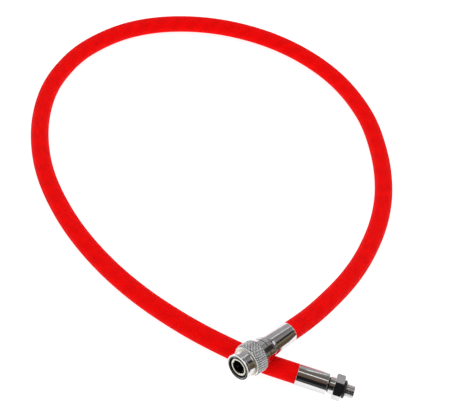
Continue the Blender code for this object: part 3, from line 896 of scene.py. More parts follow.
@dataclass
class BraidedHose:
    """The free hose, one smooth loop between the two ferrules."""

    coupling: FittingAxis
    supply: FittingAxis
    radius: float = 7.15 * MM
    end_gap: float = 0.02 * MM
    lead: float = 12.0 * MM
    sides: int = 48
    step: float = 2.0 * MM
    route: tuple[Triple, ...] = (
        (-28.2, 59.4, 15.8),
        (-34.7, 93.4, 12.0),
        (-45.2, 124.9, 9.3),
        (-61.7, 157.9, 7.7),
        (-83.7, 186.9, 7.2),
        (-113.7, 213.4, 7.15),
        (-150.7, 235.4, 7.15),
        (-194.2, 246.9, 7.15),
        (-237.2, 244.9, 7.15),
        (-277.7, 230.9, 7.15),
        (-314.2, 204.9, 7.15),
        (-341.2, 169.9, 7.15),
        (-355.2, 130.9, 7.15),
        (-355.2, 88.4, 7.15),
        (-343.2, 52.9, 7.15),
        (-323.7, 23.9, 7.15),
        (-293.2, -3.1, 7.15),
        (-254.7, -24.1, 7.15),
        (-210.2, -36.6, 7.15),
        (-165.7, -40.6, 7.15),
        (-121.7, -37.1, 7.15),
        (-78.2, -26.6, 7.15),
        (-39.1, -11.7, 7.3),
    )

    def centreline(self) -> list[Vector]:
        """Points close together along the hose, from the coupling to the supply end.

        Returns:
            The points, in metres.
        """
        axes = (self.coupling, self.supply)
        ways = [axis.along() for axis in axes]
        ends = [Vector(axis.mouth) - way * self.end_gap for axis, way in zip(axes, ways)]
        leads = [end - way * self.lead for end, way in zip(ends, ways)]
        places = [leads[0]] + [Vector(place) * MM for place in self.route] + [leads[1]]
        slopes = [-ways[0] * (places[1] - places[0]).length]
        slopes += [(after - before) / 2.0 for before, after in zip(places, places[2:])]
        slopes.append(ways[1] * (places[-1] - places[-2]).length)
        points = self.straight(ends[0], leads[0])
        for start, end, leave, arrive in zip(places, places[1:], slopes, slopes[1:]):
            pieces = max(2, round((end - start).length / self.step))
            handles = (start + leave / 3.0, end - arrive / 3.0)
            points += interpolate_bezier(start, *handles, end, pieces + 1)[:-1]
        return points + self.straight(leads[1], ends[1]) + [ends[1]]

    def straight(self, start: Vector, end: Vector) -> list[Vector]:
        """Points along a straight stretch, without its last."""
        pieces = max(1, round((end - start).length / self.step))
        return [start.lerp(end, index / pieces) for index in range(pieces)]

    def skin(self, line: Sequence[Vector]) -> Piece:
        """Lay the woven tube along its line, with a map that follows the surface.

        Args:
            line: The centreline's points.

        Returns:
            The hose as a mesh.
        """
        bm = bmesh.new()
        layer = bm.loops.layers.uv.new("hose_map")
        across = Vector((0.0, 0.0, 1.0))
        rings = []
        lengths = [0.0]
        for before, after in zip(line, line[1:]):
            lengths.append(lengths[-1] + (after - before).length)
        for index, point in enumerate(line):
            ahead = line[min(index + 1, len(line) - 1)] - line[max(index - 1, 0)]
            ahead.normalize()
            across = (across - ahead * across.dot(ahead)).normalized()
            beside = ahead.cross(across)
            ring = []
            for side in range(self.sides):
                turn = math.tau * side / self.sides
                offset = across * math.cos(turn) + beside * math.sin(turn)
                ring.append(bm.verts.new(point + offset * self.radius))
            rings.append(ring)
        for index in range(len(rings) - 1):
            near, far = rings[index], rings[index + 1]
            for side in range(self.sides):
                after = (side + 1) % self.sides
                face = bm.faces.new((near[side], near[after], far[after], far[side]))
                marks = ((side, index), (side + 1, index), (side + 1, index + 1), (side, index + 1))
                for loop, (turn_mark, length_mark) in zip(face.loops, marks):
                    loop[layer].uv = (turn_mark / self.sides, lengths[length_mark])
        for ring in (rings[0][::-1], rings[-1]):
            cap = bm.faces.new(ring)
            for loop in cap.loops:
                loop[layer].uv = (0.0, 0.0)
        bmesh.ops.recalc_face_normals(bm, faces=bm.faces)
        mesh = bpy.data.meshes.new("braided_hose")
        bm.to_mesh(mesh)
        bm.free()
        hose = bpy.data.objects.new("braided_hose", mesh)
        bpy.context.scene.collection.objects.link(hose)
        return hose

    def build(self, finish: Finish) -> None:
        """Args:
            finish: The woven cover.
        """
        line = self.centreline()
        hose = self.skin(line)
        dress(hose, finish, Carrier.HOSE, ["hose"], 60.0)
        length = sum((after - before).length for before, after in zip(line, line[1:]))
        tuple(self.coupling.mouth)
        2.0 * self.radius
        LOG.info("hose length %.4f m", length)


# ---- The two ends ----


@dataclass
class Ferrule:
    """Plain crimped sleeve at either end of the hose."""

    name: str
    node: str
    axis: FittingAxis
    radius: float = 7.6 * MM
    length: float = 21.8 * MM
    bore: float = 6.7 * MM
    flange_bore: float = 4.1 * MM
    flange: float = 1.6 * MM
    lip: float = 0.35 * MM

    def build(self, finish: Finish) -> None:
        """Turn the ferrule.

        Args:
            finish: Its plating.
        """
        corners = (
            Corner(self.bore, 0.0, self.lip),
            Corner(self.radius, 0.0, self.lip),
            Corner(self.radius, self.length, self.lip),
            Corner(self.flange_bore, self.length),
            Corner(self.flange_bore, self.length - self.flange),
            Corner(self.bore, self.length - self.flange),
        )
        piece = turned(self.name, corners)
        lay_in_place(piece, self.axis)
        dress(piece, finish, Carrier.HOSE, [self.node])


@dataclass
class Tail:
    """Barbed tail that each fitting pushes into the hose."""

    start: float = 1.2 * MM
    bore: float = 1.8 * MM
    crest: float = 3.1 * MM
    depth: float = 0.4 * MM
    pitch: float = 4.0 * MM
    barbs: int = 4
    slope: float = 0.8
    groove_start: float = 19.8 * MM
    groove: float = 3.9 * MM
    shoulder: float = 22.0 * MM

    def corners(self) -> list[Corner]:
        """Outline from the tail's open end to the shoulder outside the ferrule.

        Returns:
            The corners, in order.
        """
        outline = [Corner(self.bore, self.start)]
        for barb in range(self.barbs):
            foot = self.start + barb * self.pitch
            outline.append(Corner(self.crest - self.depth, foot))
            outline.append(Corner(self.crest, foot + self.pitch * self.slope))
        outline.append(Corner(self.crest, self.groove_start))
        outline.append(Corner(self.groove, self.groove_start))
        outline.append(Corner(self.groove, self.shoulder))
        return outline


@dataclass
class SupplyEnd:
    """Hex fitting with a threaded nose that screws into the regulator's port."""

    axis: FittingAxis
    tail: Tail = field(default_factory=Tail)
    neck: float = 6.0 * MM
    neck_step: float = 0.9 * MM
    spanner: SpannerHex = SpannerHex(26.3 * MM, 32.3 * MM, math.radians(12.0))
    edge: float = 0.18 * MM
    relief: float = 4.2 * MM
    thread_start: float = 34.34 * MM
    tip: float = 40.44 * MM
    crest: float = 4.75 * MM
    root: float = 4.15 * MM
    pitch: float = 1.058 * MM
    thread_steps: int = 72
    core_gap: float = 0.15 * MM
    crest_flat: float = 0.12
    tip_rounding: float = 0.1 * MM
    mouth_rounding: float = 0.15 * MM
    bore: float = 2.4 * MM
    bore_depth: float = 9.0 * MM
    lead_chamfer: float = 0.6 * MM
    seal_section: float = 0.95 * MM
    seal_radius: float = 5.35 * MM
    seal_station: float = 33.45 * MM
    ring_steps: tuple[int, int] = (80, 20)

    def build(self, plate: Finish, seal: Finish, groove: Finish) -> None:
        """Make the fitting, its thread and its sealing ring.

        Args:
            plate: Plating of the metal.
            seal: Rubber of the ring.
            groove: Dark finish of the groove behind the neck, painted shade.
        """
        body = self.turned_body()
        coat(body, plate, groove)
        limit = self.tail.shoulder + self.neck_step
        # Faces in the groove behind the neck take the dark finish as painted shade.
        for face in body.data.polygons:
            if self.tail.groove_start < face.center.z < limit:
                face.material_index = 1
        thread = self.threaded_nose()
        coat(thread, plate)
        focus(body)
        thread.select_set(True)
        bpy.ops.object.join()
        lay_in_place(body, self.axis)
        dress(body, plate, Carrier.HOSE, ["supply_fitting"])
        self.sealing_ring(seal)

    def turned_body(self) -> Piece:
        """Tail, neck, spanner hex and the core of the nose.

        Returns:
            The turned piece, with its hex cut.
        """
        core = self.root - self.core_gap
        corners = [
            *self.tail.corners(),
            Corner(self.neck - self.neck_step, self.tail.shoulder, self.edge),
            Corner(self.neck - self.neck_step, self.tail.shoulder + self.neck_step),
            Corner(self.neck, self.tail.shoulder + self.neck_step, self.edge),
            Corner(self.neck, self.spanner.start, self.edge),
            *self.spanner.rear(),
            *self.spanner.front(),
            Corner(core, self.spanner.end),
            Corner(core, self.tip - self.lead_chamfer),
            Corner(self.bore, self.tip - self.lead_chamfer),
            Corner(self.bore, self.tip - self.bore_depth),
            Corner(self.tail.bore, self.tip - self.bore_depth - (self.bore - self.tail.bore)),
        ]
        body = turned("supply_hex_fitting", corners)
        self.spanner.cut_flats(body, self.tip)
        return body

    def threaded_nose(self) -> Piece:
        """Helical thread, trimmed by a nose with a chamfer at each end.

        Returns:
            The threaded piece.
        """
        flat = self.pitch * self.crest_flat
        slope = (self.pitch - 2.0 * flat) / 2.0
        start = self.thread_start - 2.0 * self.pitch
        tooth = [
            (self.root, start),
            (self.root, start + flat),
            (self.crest, start + flat + slope),
            (self.crest, start + 2.0 * flat + slope),
            (self.root, start + self.pitch),
        ]
        helix = traced("helix", tooth, closed=False)
        turns = math.ceil((self.tip - start) / self.pitch) + 1
        sweep(helix, self.thread_steps, SLACK, self.pitch, turns)
        self.trim(helix, self.thread_start - 0.5 * self.pitch, below=True)
        self.trim(helix, self.tip, below=False)
        face_outwards(helix)
        foot = self.thread_start - 0.4 * self.pitch
        outline = (
            Corner(self.bore, foot),
            Corner(self.relief, foot),
            Corner(self.relief, self.thread_start),
            Corner(self.crest, self.thread_start + self.crest - self.root),
            Corner(self.crest, self.tip - self.lead_chamfer),
            Corner(self.crest - self.lead_chamfer, self.tip, self.tip_rounding),
            Corner(self.bore, self.tip, self.mouth_rounding),
        )
        nose = turned("nose", outline)
        combine(nose, helix, "INTERSECT")
        return nose

    def trim(self, piece: Piece, station: float, below: bool) -> None:
        """Cut a piece flat at a station and close the cut.

        Args:
            piece: The piece.
            station: Where the cut is.
            below: Whether the part below the cut goes.
        """
        focus(piece)
        bpy.ops.object.mode_set(mode="EDIT")
        bpy.ops.mesh.select_all(action="SELECT")
        bpy.ops.mesh.bisect(
            plane_co=(0.0, 0.0, station),
            plane_no=(0.0, 0.0, 1.0),
            use_fill=True,
            clear_inner=below,
            clear_outer=not below,
        )
        bpy.ops.object.mode_set(mode="OBJECT")

    def sealing_ring(self, seal: Finish) -> None:
        """Round rubber ring between the hex and the thread.

        Args:
            seal: the finish of the ring.
        """
        clear_selection()
        bpy.ops.mesh.primitive_torus_add(
            major_segments=self.ring_steps[0],
            minor_segments=self.ring_steps[1],
            major_radius=self.seal_radius,
            minor_radius=self.seal_section,
            location=(0.0, 0.0, self.seal_station),
        )
        ring = bpy.context.object
        ring.name = "port_sealing_ring"
        bake_place(ring)
        lay_in_place(ring, self.axis)
        dress(ring, seal, Carrier.HOSE, ["supply_o_ring"], 80.0)


@dataclass
class CouplingBody:
    """Body of the quick-release coupling, with its spanner hex and its socket."""

    axis: FittingAxis
    tail: Tail = field(default_factory=Tail)
    neck: float = 5.6 * MM
    spanner: SpannerHex = SpannerHex(23.4 * MM, 33.8 * MM, crown=0.70 * MM)
    groove_station: float = 27.5 * MM
    groove_depth: float = 0.6 * MM
    edge: float = 0.18 * MM
    guide: float = 6.75 * MM
    guide_end: float = 44.66 * MM
    socket: float = 6.25 * MM
    socket_bore: float = 4.8 * MM
    socket_face: float = 50.66 * MM
    socket_floor: float = 38.26 * MM
    socket_lead: float = 0.4 * MM
    ring_seat: float = 5.7 * MM
    ring_back: float = 48.86 * MM
    ring_front: float = 49.76 * MM
    seal_station: float = 42.46 * MM
    seal_half: float = 0.8 * MM
    seal_groove: float = 5.9 * MM
    valve_hole: float = 2.8 * MM
    valve_floor: float = 27.06 * MM
    ball_station: float = 47.16 * MM
    ball_hole: float = 1.2 * MM
    drill_reach: float = 1.0 * MM
    drill_steps: int = 32
    balls: int = 6

    def build(self, plate: Finish, bore: Finish, facing: Finish) -> None:
        """Make the body.

        Args:
            plate: Plating outside.
            bore: Dark finish inside the socket, painted shade.
            facing: Finish of the socket's end face, warm cream as a painted reflection.
        """
        corner = self.spanner.corner
        floor = self.spanner.across_flats / 2.0 - self.groove_depth
        half = self.groove_depth / 2.0
        seal_front = self.seal_station + self.seal_half
        seal_back = self.seal_station - self.seal_half
        corners = [
            *self.tail.corners(),
            Corner(self.neck, self.tail.shoulder, self.edge),
            Corner(self.neck, self.spanner.start, self.edge),
            *self.spanner.rear(),
            Corner(corner, self.groove_station - half),
            Corner(floor, self.groove_station - half),
            Corner(floor, self.groove_station + half),
            Corner(corner, self.groove_station + half),
            *self.spanner.front(),
            Corner(self.guide, self.spanner.end),
            Corner(self.guide, self.guide_end - (self.guide - self.socket)),
            Corner(self.socket, self.guide_end),
            Corner(self.socket, self.ring_back),
            Corner(self.ring_seat, self.ring_back),
            Corner(self.ring_seat, self.ring_front),
            Corner(self.socket, self.ring_front),
            Corner(self.socket, self.socket_face, self.edge),
            Corner(self.socket_bore + self.socket_lead, self.socket_face),
            Corner(self.socket_bore, self.socket_face - self.socket_lead),
            Corner(self.socket_bore, seal_front),
            Corner(self.seal_groove, seal_front),
            Corner(self.seal_groove, seal_back),
            Corner(self.socket_bore, seal_back),
            Corner(self.socket_bore, self.socket_floor),
            Corner(self.valve_hole, self.socket_floor),
            Corner(self.valve_hole, self.valve_floor),
            Corner(self.tail.bore, self.valve_floor),
        ]
        body = turned("coupling_turned_body", corners)
        self.spanner.cut_flats(body, self.socket_face)
        combine(body, self.ball_drill(), "DIFFERENCE")
        coat(body, plate, bore, facing)
        self.paint_bore_shade(body)
        lay_in_place(body, self.axis)
        dress(body, plate, Carrier.HOSE, ["coupling_body"])

    def ball_drill(self) -> Piece:
        """Six drills for the lock balls' holes, as one tool.

        Returns:
            The joined drills.
        """
        tools = []
        depth = self.guide - self.socket_bore + 2.0 * self.drill_reach
        middle = (self.guide + self.socket_bore) / 2.0
        for ball in range(self.balls):
            turn = math.tau * ball / self.balls
            clear_selection()
            bpy.ops.mesh.primitive_cylinder_add(
                vertices=self.drill_steps,
                radius=self.ball_hole,
                depth=depth,
                location=(middle * math.cos(turn), middle * math.sin(turn), self.ball_station),
                rotation=(0.0, math.pi / 2.0, turn),
            )
            tools.append(bpy.context.object)
            bake_place(tools[-1])
        focus(tools[0])
        for tool in tools:
            tool.select_set(True)
        bpy.ops.object.join()
        return tools[0]

    def paint_bore_shade(self, body: Piece) -> None:
        """Paint shade inside the socket with the dark second finish, and give its end face the third, a
        painted reflection.

        Args:
            body: the coupling body.
        """
        for face in body.data.polygons:
            radius = math.hypot(face.center.x, face.center.y)
            inside = radius < self.seal_groove and face.center.z > self.valve_floor
            facing = face.normal.x * face.center.x + face.normal.y * face.center.y
            deep = face.center.z < self.socket_face - 1.5 * self.socket_lead
            # Faces deep in the socket take the dark finish as painted shade; the end face takes the cream
            # painted reflection.
            if inside and deep and (facing < 0.0 or face.center.z < self.ball_station):
                face.material_index = 1
            elif face.normal.z > TIPWARD and face.center.z > self.socket_face - 0.1 * MM:
                face.material_index = 2


@dataclass
class ReleaseSleeve:
    """Sliding sleeve with a rolled rim, a smooth waist and a diamond-knurled grip."""

    axis: FittingAxis
    start: float = 32.8 * MM
    chamber_end: float = 42.56 * MM
    knurl_end: float = 43.16 * MM
    waist_end: float = 48.76 * MM
    rim_face: float = 51.56 * MM
    rim: float = 9.3 * MM
    waist: float = 8.7 * MM
    recess: float = 7.4 * MM
    roll: float = 1.1875 * MM
    lip: float = 0.30 * MM
    land: float = 6.85 * MM
    chamber: float = 10.02 * MM
    crest: float = 11.52 * MM
    tooth: float = 0.26 * MM
    near_foot: float = 0.05
    front_chamfer: float = 0.4 * MM
    front_rounding: float = 0.1 * MM
    front_bevel: float = 0.75 * MM
    bevel_bend: float = 1.5
    rear_chamfer: float = 0.8 * MM
    rear_rounding: float = 0.15 * MM
    shoulder_rise: float = 0.25 * MM
    shoulder_rounding: float = 0.2 * MM
    rim_run_in: float = 0.35 * MM
    rim_run_out: float = 0.3 * MM
    waist_rounding: float = 0.25 * MM
    # Range of tipward tilt of the rim faces that carry the painted highlight.
    highlight_tilt: tuple[float, float] = (0.1, 0.75)
    columns: int = 50
    rows: int = 6

    @property
    def grip_start(self) -> float:
        """Station of the grip's rear end."""
        return self.start + self.rear_chamfer

    @property
    def grip_end(self) -> float:
        """Station of the grip's front end."""
        return self.knurl_end - self.front_chamfer

    @property
    def line_gap(self) -> float:
        """Distance along the grip from one ring of points to the next."""
        return (self.grip_end - self.grip_start) / (2 * self.rows)

    def on_grip(self, station: float) -> bool:
        """Say whether a station is on the grip."""
        return self.grip_start - SLACK < station < self.grip_end + SLACK

    def foot(self, station: float) -> float:
        """Measure the radius at the foot of the teeth, which falls along the front bevel."""
        share = (station - self.grip_end) / (2.0 * self.line_gap) + 1.0
        return self.crest - self.tooth - self.front_bevel * max(share, 0.0) ** self.bevel_bend

    def build(self, knurled: Finish, facing: Finish, bore: Finish, edge: Finish, plate: Finish) -> None:
        """Turn the sleeve and raise its knurl.

        Args:
            knurled: Finish of the toothed grip.
            facing: Finish of the flat shoulder in front of the grip, warm cream as a painted reflection.
            bore: Dark finish inside the rim, painted shade.
            edge: Painted highlight on the rim's outer edge.
            plate: Plating of the smooth waist.
        """
        stations = [self.grip_start + self.line_gap * line for line in range(2 * self.rows + 1)]
        foot = self.foot(self.grip_start)
        corners = [
            Corner(self.chamber, self.start),
            Corner(foot - self.rear_chamfer, self.start, self.rear_rounding),
            *(Corner(self.foot(station), station) for station in stations),
            Corner(self.foot(self.grip_end) - self.front_chamfer, self.knurl_end, self.front_rounding),
            Corner(self.waist, self.knurl_end + self.shoulder_rise, self.shoulder_rounding),
            Corner(self.waist, self.waist_end - self.rim_run_in, self.waist_rounding),
            Corner(self.rim, self.waist_end + self.rim_run_out, self.rim_run_out),
            Corner(self.rim, self.rim_face, self.roll),
            Corner(self.recess + self.lip, self.rim_face, self.lip),
            Corner(self.recess, self.rim_face - 2.0 * self.lip),
            Corner(self.recess, self.waist_end),
            Corner(self.land, self.waist_end),
            Corner(self.land, self.chamber_end),
            Corner(self.chamber, self.chamber_end),
        ]
        sleeve = turned("knurled_sleeve", corners, steps=2 * self.columns)
        coat(sleeve, knurled, facing, bore, edge, plate)
        self.raise_knurl(sleeve)
        self.map_teeth(sleeve)
        for face in sleeve.data.polygons:
            face.material_index = self.choose_finish(face)
        lay_in_place(sleeve, self.axis)
        dress(sleeve, knurled, Carrier.SLEEVE, ["coupling_sleeve"])

    def choose_finish(self, face: bpy.types.MeshPolygon) -> int:
        """Choose a face's material slot by where it lies.

        Args:
            face: The face, in the sleeve's own frame.

        Returns:
            The slot's index, in the order that build gives the finishes.
        """
        radius = math.hypot(face.center.x, face.center.y)
        # The tipward shoulder takes the warm cream of a painted reflection.
        if face.normal.z > TIPWARD and abs(face.center.z - self.knurl_end) < self.lip:
            return 1
        # Inside the rim: the dark finish, painted shade.
        if radius < self.recess + 0.5 * self.lip:
            return 2
        # A band on the rim's rounded outer edge takes a painted highlight.
        on_rim = radius > self.waist + self.front_rounding and face.center.z > self.waist_end
        if on_rim and self.highlight_tilt[0] < face.normal.z < self.highlight_tilt[1]:
            return 3
        return 4 if face.center.z > self.knurl_end else 0

    def raise_knurl(self, sleeve: Piece) -> None:
        """Lift every other point of the grip into a tooth and crease the faces between them.

        Args:
            sleeve: The sleeve in its own frame.
        """
        band = set()
        for vertex in sleeve.data.vertices:
            radius = math.hypot(vertex.co.x, vertex.co.y)
            foot = self.foot(vertex.co.z)
            if abs(radius - foot) > self.near_foot * self.tooth or not self.on_grip(vertex.co.z):
                continue
            band.add(vertex.index)
            line = round((vertex.co.z - self.grip_start) / self.line_gap)
            column = round(math.atan2(vertex.co.y, vertex.co.x) * self.columns / math.pi)
            if (line + column) % 2 == 0 and 0 < line:
                lift = (foot + self.tooth) / radius
                vertex.co.x *= lift
                vertex.co.y *= lift
        with editing(sleeve, "FACE", lambda face: band.issuperset(face.vertices)):
            bpy.ops.mesh.quads_convert_to_tris(quad_method="SHORTEST_DIAGONAL")

    def map_teeth(self, sleeve: Piece) -> None:
        """Write each point's height on its tooth into the sleeve's map, and 1 everywhere else.

        Args:
            sleeve: The sleeve in its own frame.
        """
        layer = sleeve.data.uv_layers.new(name="tooth_map")
        points = sleeve.data.vertices
        for loop in sleeve.data.loops:
            place = points[loop.vertex_index].co
            share = (math.hypot(place.x, place.y) - self.foot(place.z)) / self.tooth
            toothed = self.on_grip(place.z) and share > -2.0 * self.near_foot
            layer.data[loop.index].uv = (share if toothed else 1.0, 0.0)


# ---- The studio ----


CARD_TONES: dict[str, Colour] = {
    "black": (0.014, 0.014, 0.015),
    "dusk": (0.030, 0.030, 0.031),
    "slate": (0.080, 0.078, 0.074),
    "brown": (0.150, 0.102, 0.078),
    "umber": (0.120, 0.080, 0.046),
    "olive": (0.230, 0.190, 0.120),
    "moss": (0.165, 0.150, 0.120),
    "shade": (0.205, 0.200, 0.192),
    "grey": (0.290, 0.270, 0.260),
    "silver": (0.430, 0.420, 0.425),
    "lamp": (1.300, 1.300, 1.300),
}


@dataclass
class StudioPanel:
    """Card of a wide dome round the object, seen only in the chrome.

    The dome has its poles on one fitting's line, so a card's long edges mirror as straight lines along
    that fitting. Roll is measured about the line, from level on its left hand upwards; tilt is the angle
    from the way that the fitting points. Both are in degrees.
    """

    name: str
    finish: GlowingPanel
    pole: FittingAxis
    roll: tuple[float, float]
    tilt: tuple[float, float]
    reach: float = 5.0
    steps: int = 24

    def build(self) -> None:
        """Bend a grid over its share of the dome."""
        mirrored_card(self.name, self.finish, (self.steps, self.steps), self.place)

    def place(self, across: float, up: float) -> Vector:
        """Where a point of the card lies.

        Args:
            across: Share of its way round.
            up: Share of its way from pole to pole.

        Returns:
            The point, in metres.
        """
        roll = math.radians(self.roll[0] + (self.roll[1] - self.roll[0]) * across)
        tilt = math.radians(self.tilt[0] + (self.tilt[1] - self.tilt[0]) * up)
        wide = self.reach * math.sin(tilt)
        own = Vector((wide * math.cos(roll), wide * math.sin(roll), self.reach * math.cos(tilt)))
        return self.pole.matrix().to_3x3() @ own


@dataclass
class FloorCloth:
    """Dark cloth beyond the white sheet, seen only in the chrome."""

    name: str
    finish: GlowingPanel
    azimuth: tuple[float, float]
    inner: float
    outer: float = 4.9
    lift: float = 0.5 * MM
    steps: int = 32

    def build(self) -> None:
        """Bend a grid into a share of a ring on the floor."""
        mirrored_card(self.name, self.finish, (self.steps, 1), self.place)

    def place(self, across: float, up: float) -> Vector:
        """Where a point of the cloth lies.

        Args:
            across: Share of its way round.
            up: Share of its way outwards, 0 or 1.

        Returns:
            The point, in metres.
        """
        turn = math.radians(self.azimuth[0] + (self.azimuth[1] - self.azimuth[0]) * across)
        reach = self.outer if up > 0.5 else self.inner
        return Vector((reach * math.cos(turn), reach * math.sin(turn), self.lift))


def mirrored_card(
    name: str, finish: Finish, steps: tuple[int, int], place: Callable[[float, float], Vector]
) -> None:
    """Bend a grid into a card that only mirrors show.

    Args:
        name: The card's name.
        finish: Its finish.
        steps: Its faces across and up.
        place: Gives the place of a point from its shares of the way across and up.
    """
    clear_selection()
    bpy.ops.mesh.primitive_grid_add(x_subdivisions=steps[0], y_subdivisions=steps[1], size=2.0)
    card = bpy.context.object
    card.name = name
    for vertex in card.data.vertices:
        vertex.co = place((vertex.co.x + 1.0) / 2.0, (vertex.co.y + 1.0) / 2.0)
    coat(card, finish)
    card.visible_camera = False
    card.visible_diffuse = False
    card.visible_shadow = False
    card.visible_transmission = False


@dataclass
class Studio:
    """White sweep, soft lamps, and the dark and pale panels that the chrome mirrors.

    Each lamp has a name, a place, a side and a power. Each row of bands has the roll in degrees at which
    a band starts, and its tone.
    """

    coupling: FittingAxis
    supply: FittingAxis
    floor_size: float = 24.0
    world_light: float = 0.80
    lamps: tuple[tuple[str, Triple, float, float], ...] = (
        ("overhead_softbox", (-0.35, 0.35, 1.5), 1.2, 9.0),
        ("front_softbox", (0.5, -1.1, 1.1), 0.7, 3.0),
    )
    coupling_bands: Bands = (
        (-8.0, "umber"), (24.0, "olive"), (39.0, "dusk"), (62.0, "grey"), (84.0, "shade"),
        (103.0, "grey"), (112.0, "lamp"), (117.0, "silver"), (186.0, "end"),
    )
    supply_bands: Bands = (
        (-6.0, "silver"), (27.0, "grey"), (52.0, "moss"), (86.5, "lamp"), (94.0, "moss"),
        (104.0, "brown"), (132.0, "black"), (166.0, "slate"), (182.0, "end"),
    )
    wide_bands: Bands = (
        (-4.0, "silver"), (22.0, "lamp"), (34.0, "silver"), (58.0, "lamp"), (78.0, "shade"),
        (100.0, "lamp"), (108.0, "brown"), (125.0, "dusk"), (148.0, "silver"), (160.0, "black"),
        (184.0, "end"),
    )

    def build(self) -> None:
        """Set up the whole studio."""
        self.floor()
        self.world()
        for lamp in self.lamps:
            self.lamp(*lamp)
        self.panels()
        bpy.context.scene.view_settings.view_transform = "Standard"

    def floor(self) -> None:
        """Lay the floor."""
        clear_selection()
        bpy.ops.mesh.primitive_grid_add(x_subdivisions=4, y_subdivisions=4, size=self.floor_size)
        floor = bpy.context.object
        floor.name = "studio_floor"
        coat(floor, PaleFloor("white_sweep", None))

    def world(self) -> None:
        """Light from all round, white where it is seen."""
        world = bpy.data.worlds.new("studio_world")
        world.use_nodes = True
        bpy.context.scene.world = world
        bench = ShaderBench(world.node_tree)
        light = bench.lit("Background", WHITE, self.world_light)
        shown = bench.lit("Background", WHITE, 1.0)
        mixed = bench.add("ShaderNodeMixShader", None, {0: bench.seen_rays(), 1: light, 2: shown})
        bench.add_output("ShaderNodeOutputWorld", mixed)

    def lamp(self, name: str, place: Triple, size: float, power: float) -> None:
        """Add one soft lamp that points at the object and that the chrome doesn't mirror.

        Args:
            name: Its name.
            place: Where it stands.
            size: Side of its square.
            power: Its power in watts.
        """
        light = bpy.data.lights.new(name, "AREA")
        light.shape = "SQUARE"
        light.size = size
        light.energy = power
        lamp = bpy.data.objects.new(name, light)
        bpy.context.scene.collection.objects.link(lamp)
        lamp.location = place
        lamp.rotation_euler = (-Vector(place)).to_track_quat("-Z", "Y").to_euler()
        lamp.visible_glossy = False

    def panels(self) -> None:
        """Cards whose reflections shape the chrome, as bands along each fitting."""
        cards = {tone: GlowingPanel(f"card_{tone}", None, colour) for tone, colour in CARD_TONES.items()}
        bands = (
            ("coupling", self.coupling, (113.0, 143.0), 4.6, self.coupling_bands),
            ("supply", self.supply, (72.0, 112.0), 4.8, self.supply_bands),
            ("wide", self.supply, (0.0, 180.0), 5.0, self.wide_bands),
        )
        for name, pole, tilt, reach, tones_by_roll in bands:
            starts = tones_by_roll[:-1]
            for (start, tone), (end, _) in zip(starts, tones_by_roll[1:]):
                title = f"{name}_{start:.0f}_{tone}"
                StudioPanel(title, cards[tone], pole, (start, end), tilt, reach).build()
        FloorCloth("front_cloth", cards["slate"], (-125.0, -20.0), 0.050).build()
        FloorCloth("right_cloth", cards["umber"], (-20.0, 66.0), 0.052).build()


@dataclass(frozen=True)
class PhotoCamera:
    """The camera that took the photograph, as a fit to the loop's narrowing gave it."""

    place: Triple = (0.1751, -0.29357, 0.57034)
    right: Triple = (0.65571075, 0.74736606, 0.10717919)
    down: Triple = (0.6213645, -0.45353552, -0.63891446)
    lens: float = 76.0
    sensor: float = 36.0

    def build(self) -> None:
        """Set the camera up and make it the scene's."""
        lens = bpy.data.cameras.new("photo_camera")
        lens.lens = self.lens
        lens.sensor_width = self.sensor
        lens.sensor_fit = "HORIZONTAL"
        lens.clip_start = 0.01
        camera = bpy.data.objects.new("photo_camera", lens)
        bpy.context.scene.collection.objects.link(camera)
        right = Vector(self.right)
        up = -Vector(self.down)
        turn = Matrix((right, up, right.cross(up))).transposed().to_4x4()
        camera.matrix_world = Matrix.Translation(self.place) @ turn
        bpy.context.scene.camera = camera


def dress_frame_nodes(nodes: dict[str, Piece], finishes: dict[str, Finish]) -> None:
    """Give the CAD nodes that stay in sight their finish.

    Args:
        nodes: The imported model's nodes by name.
        finishes: Finish of each node by name.
    """
    for name, finish in finishes.items():
        node = nodes[name]
        for slot in node.material_slots:
            slot.material = finish.material()
        if not node.material_slots:
            coat(node, finish)
        LOG.info("%s keeps its solid and takes %s", name, finish.title)


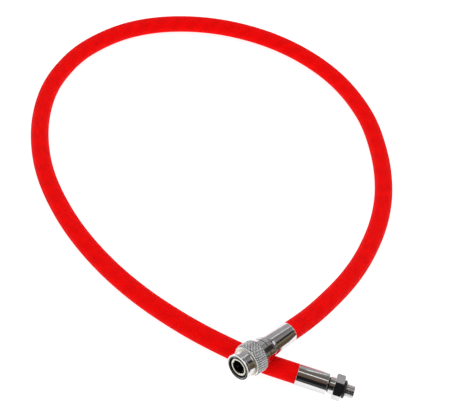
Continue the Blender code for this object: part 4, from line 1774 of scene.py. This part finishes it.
def main() -> None:
    """Build the looks of the hose on its frame."""
    logging.basicConfig(level=logging.INFO, format="%(message)s")
    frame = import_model()
    coupling = FittingAxis((-0.02508, 0.01945, 0.0210), math.radians(-87.4), math.radians(9.2))
    supply = FittingAxis((-0.00164, 0.0079, 0.0089793), math.radians(31.5))
    PhotoCamera().build()
    BraidedHose(coupling, supply).build(BraidedCover("red_braid_cover", Slot.BRAID))

    coupling_plate = PlatedMetal("coupling_chrome", Slot.PLATE, coupling)
    supply_plate = PlatedMetal("supply_chrome", Slot.PLATE, supply)
    # Dark rough metal painted as shade in the socket, inside the rim and in the neck groove.
    shaded_bore = PlatedMetal(
        "painted_shade_bore", Slot.PLATE, coupling, (0.10, 0.10, 0.10), (0.05, 0.05, 0.045), roughness=0.32
    )
    knurled_plate = KnurledMetal(
        "knurled_chrome",
        Slot.PLATE,
        coupling,
        (0.97, 0.97, 0.98),
        (0.94, 0.94, 0.94),
        roughness=0.13,
        metal=0.35,
    )
    # Warm cream on tipward faces: a painted reflection of a cream floor, with random mottle.
    facing = FacedMetal("painted_reflection_face", Slot.PLATE)
    shoulder = FacedMetal("painted_reflection_shoulder", Slot.PLATE, (0.80, 0.78, 0.64), (0.66, 0.64, 0.48), metal=0.85)
    # Near-white band on the sleeve rim's rounded edge: a painted highlight.
    edge = FacedMetal("painted_highlight_edge", Slot.PLATE, (0.95, 0.95, 0.97), (0.86, 0.86, 0.88), metal=0.35)
    balls = FacedMetal("polished_balls", Slot.STEEL, (0.46, 0.46, 0.47), (0.40, 0.40, 0.41), metal=1.0)
    seal = MouldedRubber("seal_rubber_black", Slot.SEAL)
    tube = MouldedRubber("tube_rubber_black", Slot.TUBE, roughness=0.6)
    brass = PlatedMetal(
        "turned_brass", Slot.BRASS, coupling, (0.72, 0.52, 0.24), (0.50, 0.34, 0.16), roughness=0.24
    )
    steel = PlatedMetal(
        "spring_wire", Slot.STEEL, coupling, (0.56, 0.56, 0.58), (0.40, 0.40, 0.41), roughness=0.22
    )

    Ferrule("supply_crimp_ferrule", "supply_ferrule", supply).build(supply_plate)
    Ferrule("coupling_crimp_ferrule", "coupling_ferrule", coupling).build(coupling_plate)
    SupplyEnd(supply).build(supply_plate, seal, shaded_bore)
    CouplingBody(coupling).build(coupling_plate, shaded_bore, facing)
    ReleaseSleeve(coupling).build(knurled_plate, shoulder, shaded_bore, edge, coupling_plate)

    kept: dict[str, Finish] = {f"lock_ball_{ball}": balls for ball in range(1, 7)}
    kept |= {"sleeve_spring": steel, "retaining_ring": steel, "valve_spring": steel}
    kept |= {"valve_core": brass, "valve_pin": brass}
    kept |= {"socket_o_ring": seal, "valve_gasket": seal, "valve_seal": seal}
    kept |= {"supply_hose_end": tube, "coupling_hose_end": tube}
    dress_frame_nodes(frame["nodes"], kept)

    Studio(coupling, supply).build()


if __name__ == "__main__":
    main()
